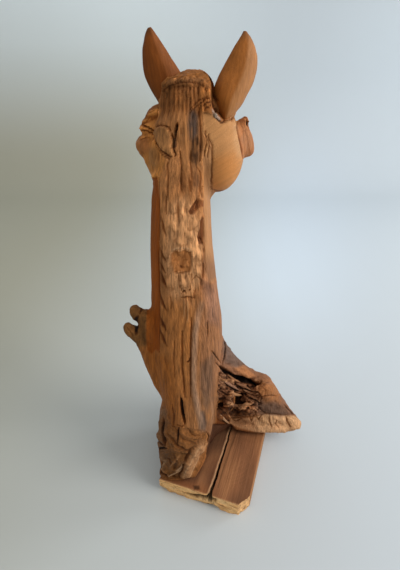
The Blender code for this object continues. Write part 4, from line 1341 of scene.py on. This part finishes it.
SLIVERS = (
    ("long", ((225, 382), (231, 385.6), (238.6, 390)), 0.0021, 0.0011, 0.0012, (150, 110, 86)),
    ("upper", ((236, 384), (243, 386), (250, 389.6)), 0.0020, 0.0010, 0.0008, (134, 92, 64)),
    ("mid", ((244, 389.4), (250, 391.6), (257.4, 394)), 0.0020, 0.0011, 0.0010, (166, 118, 84)),
    ("lower", ((246, 393.4), (253, 396.8), (261, 400.4)), 0.0020, 0.0011, 0.0010, (160, 110, 76)),
    ("short", ((219, 376), (224, 379), (231, 379.6)), 0.0017, 0.0009, 0.0006, (138, 94, 60)),
    ("root", ((224, 396), (230, 397.6), (233, 402)), 0.0018, 0.0010, 0.0006, (120, 80, 52)),
    ("chip", ((230, 391), (236, 394.6), (242, 394)), 0.0022, 0.0012, 0.0012, (158, 112, 76)),
    ("ledge", ((240, 406), (246, 402.6), (251, 404.6)), 0.0026, 0.0014, 0.0008, (168, 120, 82)),
    ("inner", ((231, 402), (237, 405), (243, 404)), 0.0020, 0.0012, 0.0006, (112, 74, 48)),
    ("upper_edge", ((228, 373), (234, 378), (241, 381)), 0.0018, 0.0010, 0.0008, (146, 100, 66)),
    ("foot", ((221.4, 413.6), (225, 418.4), (229.6, 423.6)), 0.0018, 0.0012, 0.0010, (186, 142, 106)),
)
share = np.linspace(0.0, 1.0, 14)
angle = np.linspace(0.0, 2.0 * np.pi, 10, endpoint=False)[None, :, None]
for kind, path, wide, thick, rise, colour in SLIVERS:
    name = "splinter_" + kind
    anchors = np.array([seat_at(spot) for spot in path])
    outward = EYE - anchors
    outward /= np.linalg.norm(outward, axis=1)[:, None]
    anchors = anchors + outward * rise
    stops = np.linspace(0.0, 1.0, len(path))
    spine = np.stack([np.interp(share, stops, anchors[:, k]) for k in range(3)], 1)
    girth = 0.25 + 0.75 * np.sin(np.pi * (0.05 + 0.9 * share))
    girth *= 1.0 + 0.15 * noise(share * 7.0, 0.0, 0.0, len(name))
    run = np.gradient(spine, axis=0)
    run /= np.linalg.norm(run, axis=1)[:, None]
    flat_way = np.cross(run, outward[0])
    flat_way /= np.linalg.norm(flat_way, axis=1)[:, None]
    deep_way = np.cross(run, flat_way)
    section = wide * np.cos(angle) * flat_way[:, None] + thick * np.sin(angle) * deep_way[:, None]
    spots, faces = capped(spine[:, None] + girth[:, None, None] * section)
    splinter = new_piece(name, spots, faces)
    sliver_tint = paint(*colour) * (1.0 + 0.15 * noise(*(spots.T * 700.0), 5))[:, None]
    dress(splinter, sliver_tint, spots * np.array([1.0, 1.0, 0.3]), np.full(len(spots), 1.0))
    splinter.data.materials.append(splinter_wood)
    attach(splinter, "root")

# Glue: a bead of clear glue, squeezed out where the right ear was pressed into its notch, lumpy
# where it set.
BEAD_AT = (215.6, 114.0)
BEAD_RADII = np.array([0.0017, 0.0016, 0.0022])
bead_seat = seat_at(BEAD_AT)
bead_way = (EYE - bead_seat) / np.linalg.norm(EYE - bead_seat)
turn, rise = np.meshgrid(np.linspace(0.0, 2.0 * np.pi, 28, endpoint=False), np.linspace(0.15, 2.99, 14))
ball = np.stack([np.sin(rise) * np.cos(turn), np.sin(rise) * np.sin(turn), np.cos(rise)], -1)
ball *= 1.0 + 0.22 * noise(*(ball.reshape(-1, 3).T * 1.9), 401).reshape(ball.shape[:2])[..., None]
bead = new_piece("glue_bead", *capped(ball * BEAD_RADII + bead_seat + bead_way * 0.0002))
glue, glue_shader = new_material("clear_glue")
waves = shader_node(glue, "TexNoise", {"Scale": 500.0})
glue_bump = shader_node(glue, "Bump", {"Distance": 0.0004, "Height": waves.outputs["Fac"]})
fill_inputs(glue, glue_shader, {
    "Base Color": (0.30, 0.21, 0.14, 1.0), "Roughness": 0.15, "Coat Weight": 0.5,
    "Normal": glue_bump.outputs["Normal"],
})
bead.data.materials.append(glue)
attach(bead, "root")

# Studio: a pale paper sheet swept up behind, lit by one wide soft light from the view's right, a
# fill from above and a wash on the paper. Nothing of it belongs to the sculpture.
SWEEP_HALF_WIDTH = 3.0
SWEEP_RADIUS = 0.5
BEND_START = 1.3
bend_angle = np.linspace(0.0, np.pi / 2, 16)[1:]
run = np.concatenate([
    np.linspace(-2.2, BEND_START, 40), BEND_START + SWEEP_RADIUS * np.sin(bend_angle),
    [BEND_START + SWEEP_RADIUS] * 16,
])
rise = np.concatenate([
    np.zeros(40), SWEEP_RADIUS - SWEEP_RADIUS * np.cos(bend_angle), np.linspace(0.62, 3.2, 16),
])
columns = np.linspace(-SWEEP_HALF_WIDTH, SWEEP_HALF_WIDTH, 61)
paper_grid = run[:, None, None] * AHEAD + columns[None, :, None] * ACROSS + rise[:, None, None] * UP
row, column = np.meshgrid(np.arange(len(run) - 1), np.arange(len(columns) - 1), indexing="ij")
start = row * len(columns) + column
paper_faces = np.stack([start, start + 1, start + len(columns) + 1, start + len(columns)], -1).reshape(-1, 4)
paper_points = paper_grid.reshape(-1, 3)
paper = new_piece("paper_sweep", paper_points, paper_faces.tolist())

# The sheet's colour: pale on the left, greyer on the right, with painted shade low down on the left
# and a painted pool of light right of the neck.
LEFT_PAPER = (232, 242, 247)
RIGHT_PAPER = (193, 200, 205)
LOW_SHADE = np.array([0.46, 0.52, 0.63])
GLOW = np.array([0.26, 0.31, 0.39])
GLOW_MIDDLE = np.array([266.0, 256.0])
GLOW_SIZE = np.array([84.0, 110.0])
to_left = ease(0.35, -0.75, paper_points @ ACROSS - 0.12 * (paper_points @ AHEAD))[:, None]
low = ease(0.80, 0.05, paper_points @ UP)[:, None]
paper_tint = paint(*RIGHT_PAPER) * (1.0 - to_left) + paint(*LEFT_PAPER) * to_left
paper_tint = paper_tint * (1.0 - LOW_SHADE * to_left * low)
glow = np.exp(-(((sheet_of(paper_points) - GLOW_MIDDLE) / GLOW_SIZE) ** 2).sum(1))
glow = (glow * ((paper_points - EYE) @ LOOK > 0.2))[:, None]
paper_tint = paper_tint * (1.0 + GLOW * glow)
give_attribute(paper, "tint", "FLOAT_COLOR", paper_tint)
paper_stuff, paper_shader = new_material("pale_paper")
paper_colour = shader_node(paper_stuff, "Attribute", {}, attribute_name="tint")
fill_inputs(paper_stuff, paper_shader, {
    "Base Color": paper_colour.outputs["Color"], "Roughness": 0.9, "Specular IOR Level": 0.1,
})
paper.data.materials.append(paper_stuff)


def soft_light(name, where, aim, size, watts, colour):
    """A round area light at one place, turned to face another."""
    data = bpy.data.lights.new(name, "AREA")
    data.shape = "DISK"
    data.size = size
    data.energy = watts
    data.color = colour
    lamp = bpy.data.objects.new(name, data)
    bpy.context.scene.collection.objects.link(lamp)
    lamp.location = Vector(where)
    lamp.rotation_euler = (Vector(aim) - Vector(where)).to_track_quat("-Z", "Y").to_euler()


WINDOW_AT = ACROSS * 1.5 - AHEAD * 0.6 + UP * 1.4
CEILING_AT = -AHEAD * 0.5 + UP * 2.2
WALL_LAMP_AT = ACROSS * 1.7 + AHEAD * 0.6 + UP * 0.8
WALL_SPOT = AHEAD * 1.2 - ACROSS * 0.05 + UP * 0.05
soft_light("window", WINDOW_AT, (0, 0, 0.3), 1.1, 24.0, (1.0, 0.98, 0.95))
soft_light("ceiling", CEILING_AT, (0, 0, 0.2), 2.0, 7.0, (0.99, 0.98, 0.97))
soft_light("wall_wash", WALL_LAMP_AT, WALL_SPOT, 0.9, 13.0, (0.90, 0.96, 1.0))
room = bpy.data.worlds.new("room")
room.use_nodes = True
room.node_tree.nodes["Background"].inputs["Color"].default_value = (0.87, 0.87, 0.85, 1.0)
room.node_tree.nodes["Background"].inputs["Strength"].default_value = 0.52
bpy.context.scene.world = room
bpy.context.scene.view_settings.view_transform = "Standard"
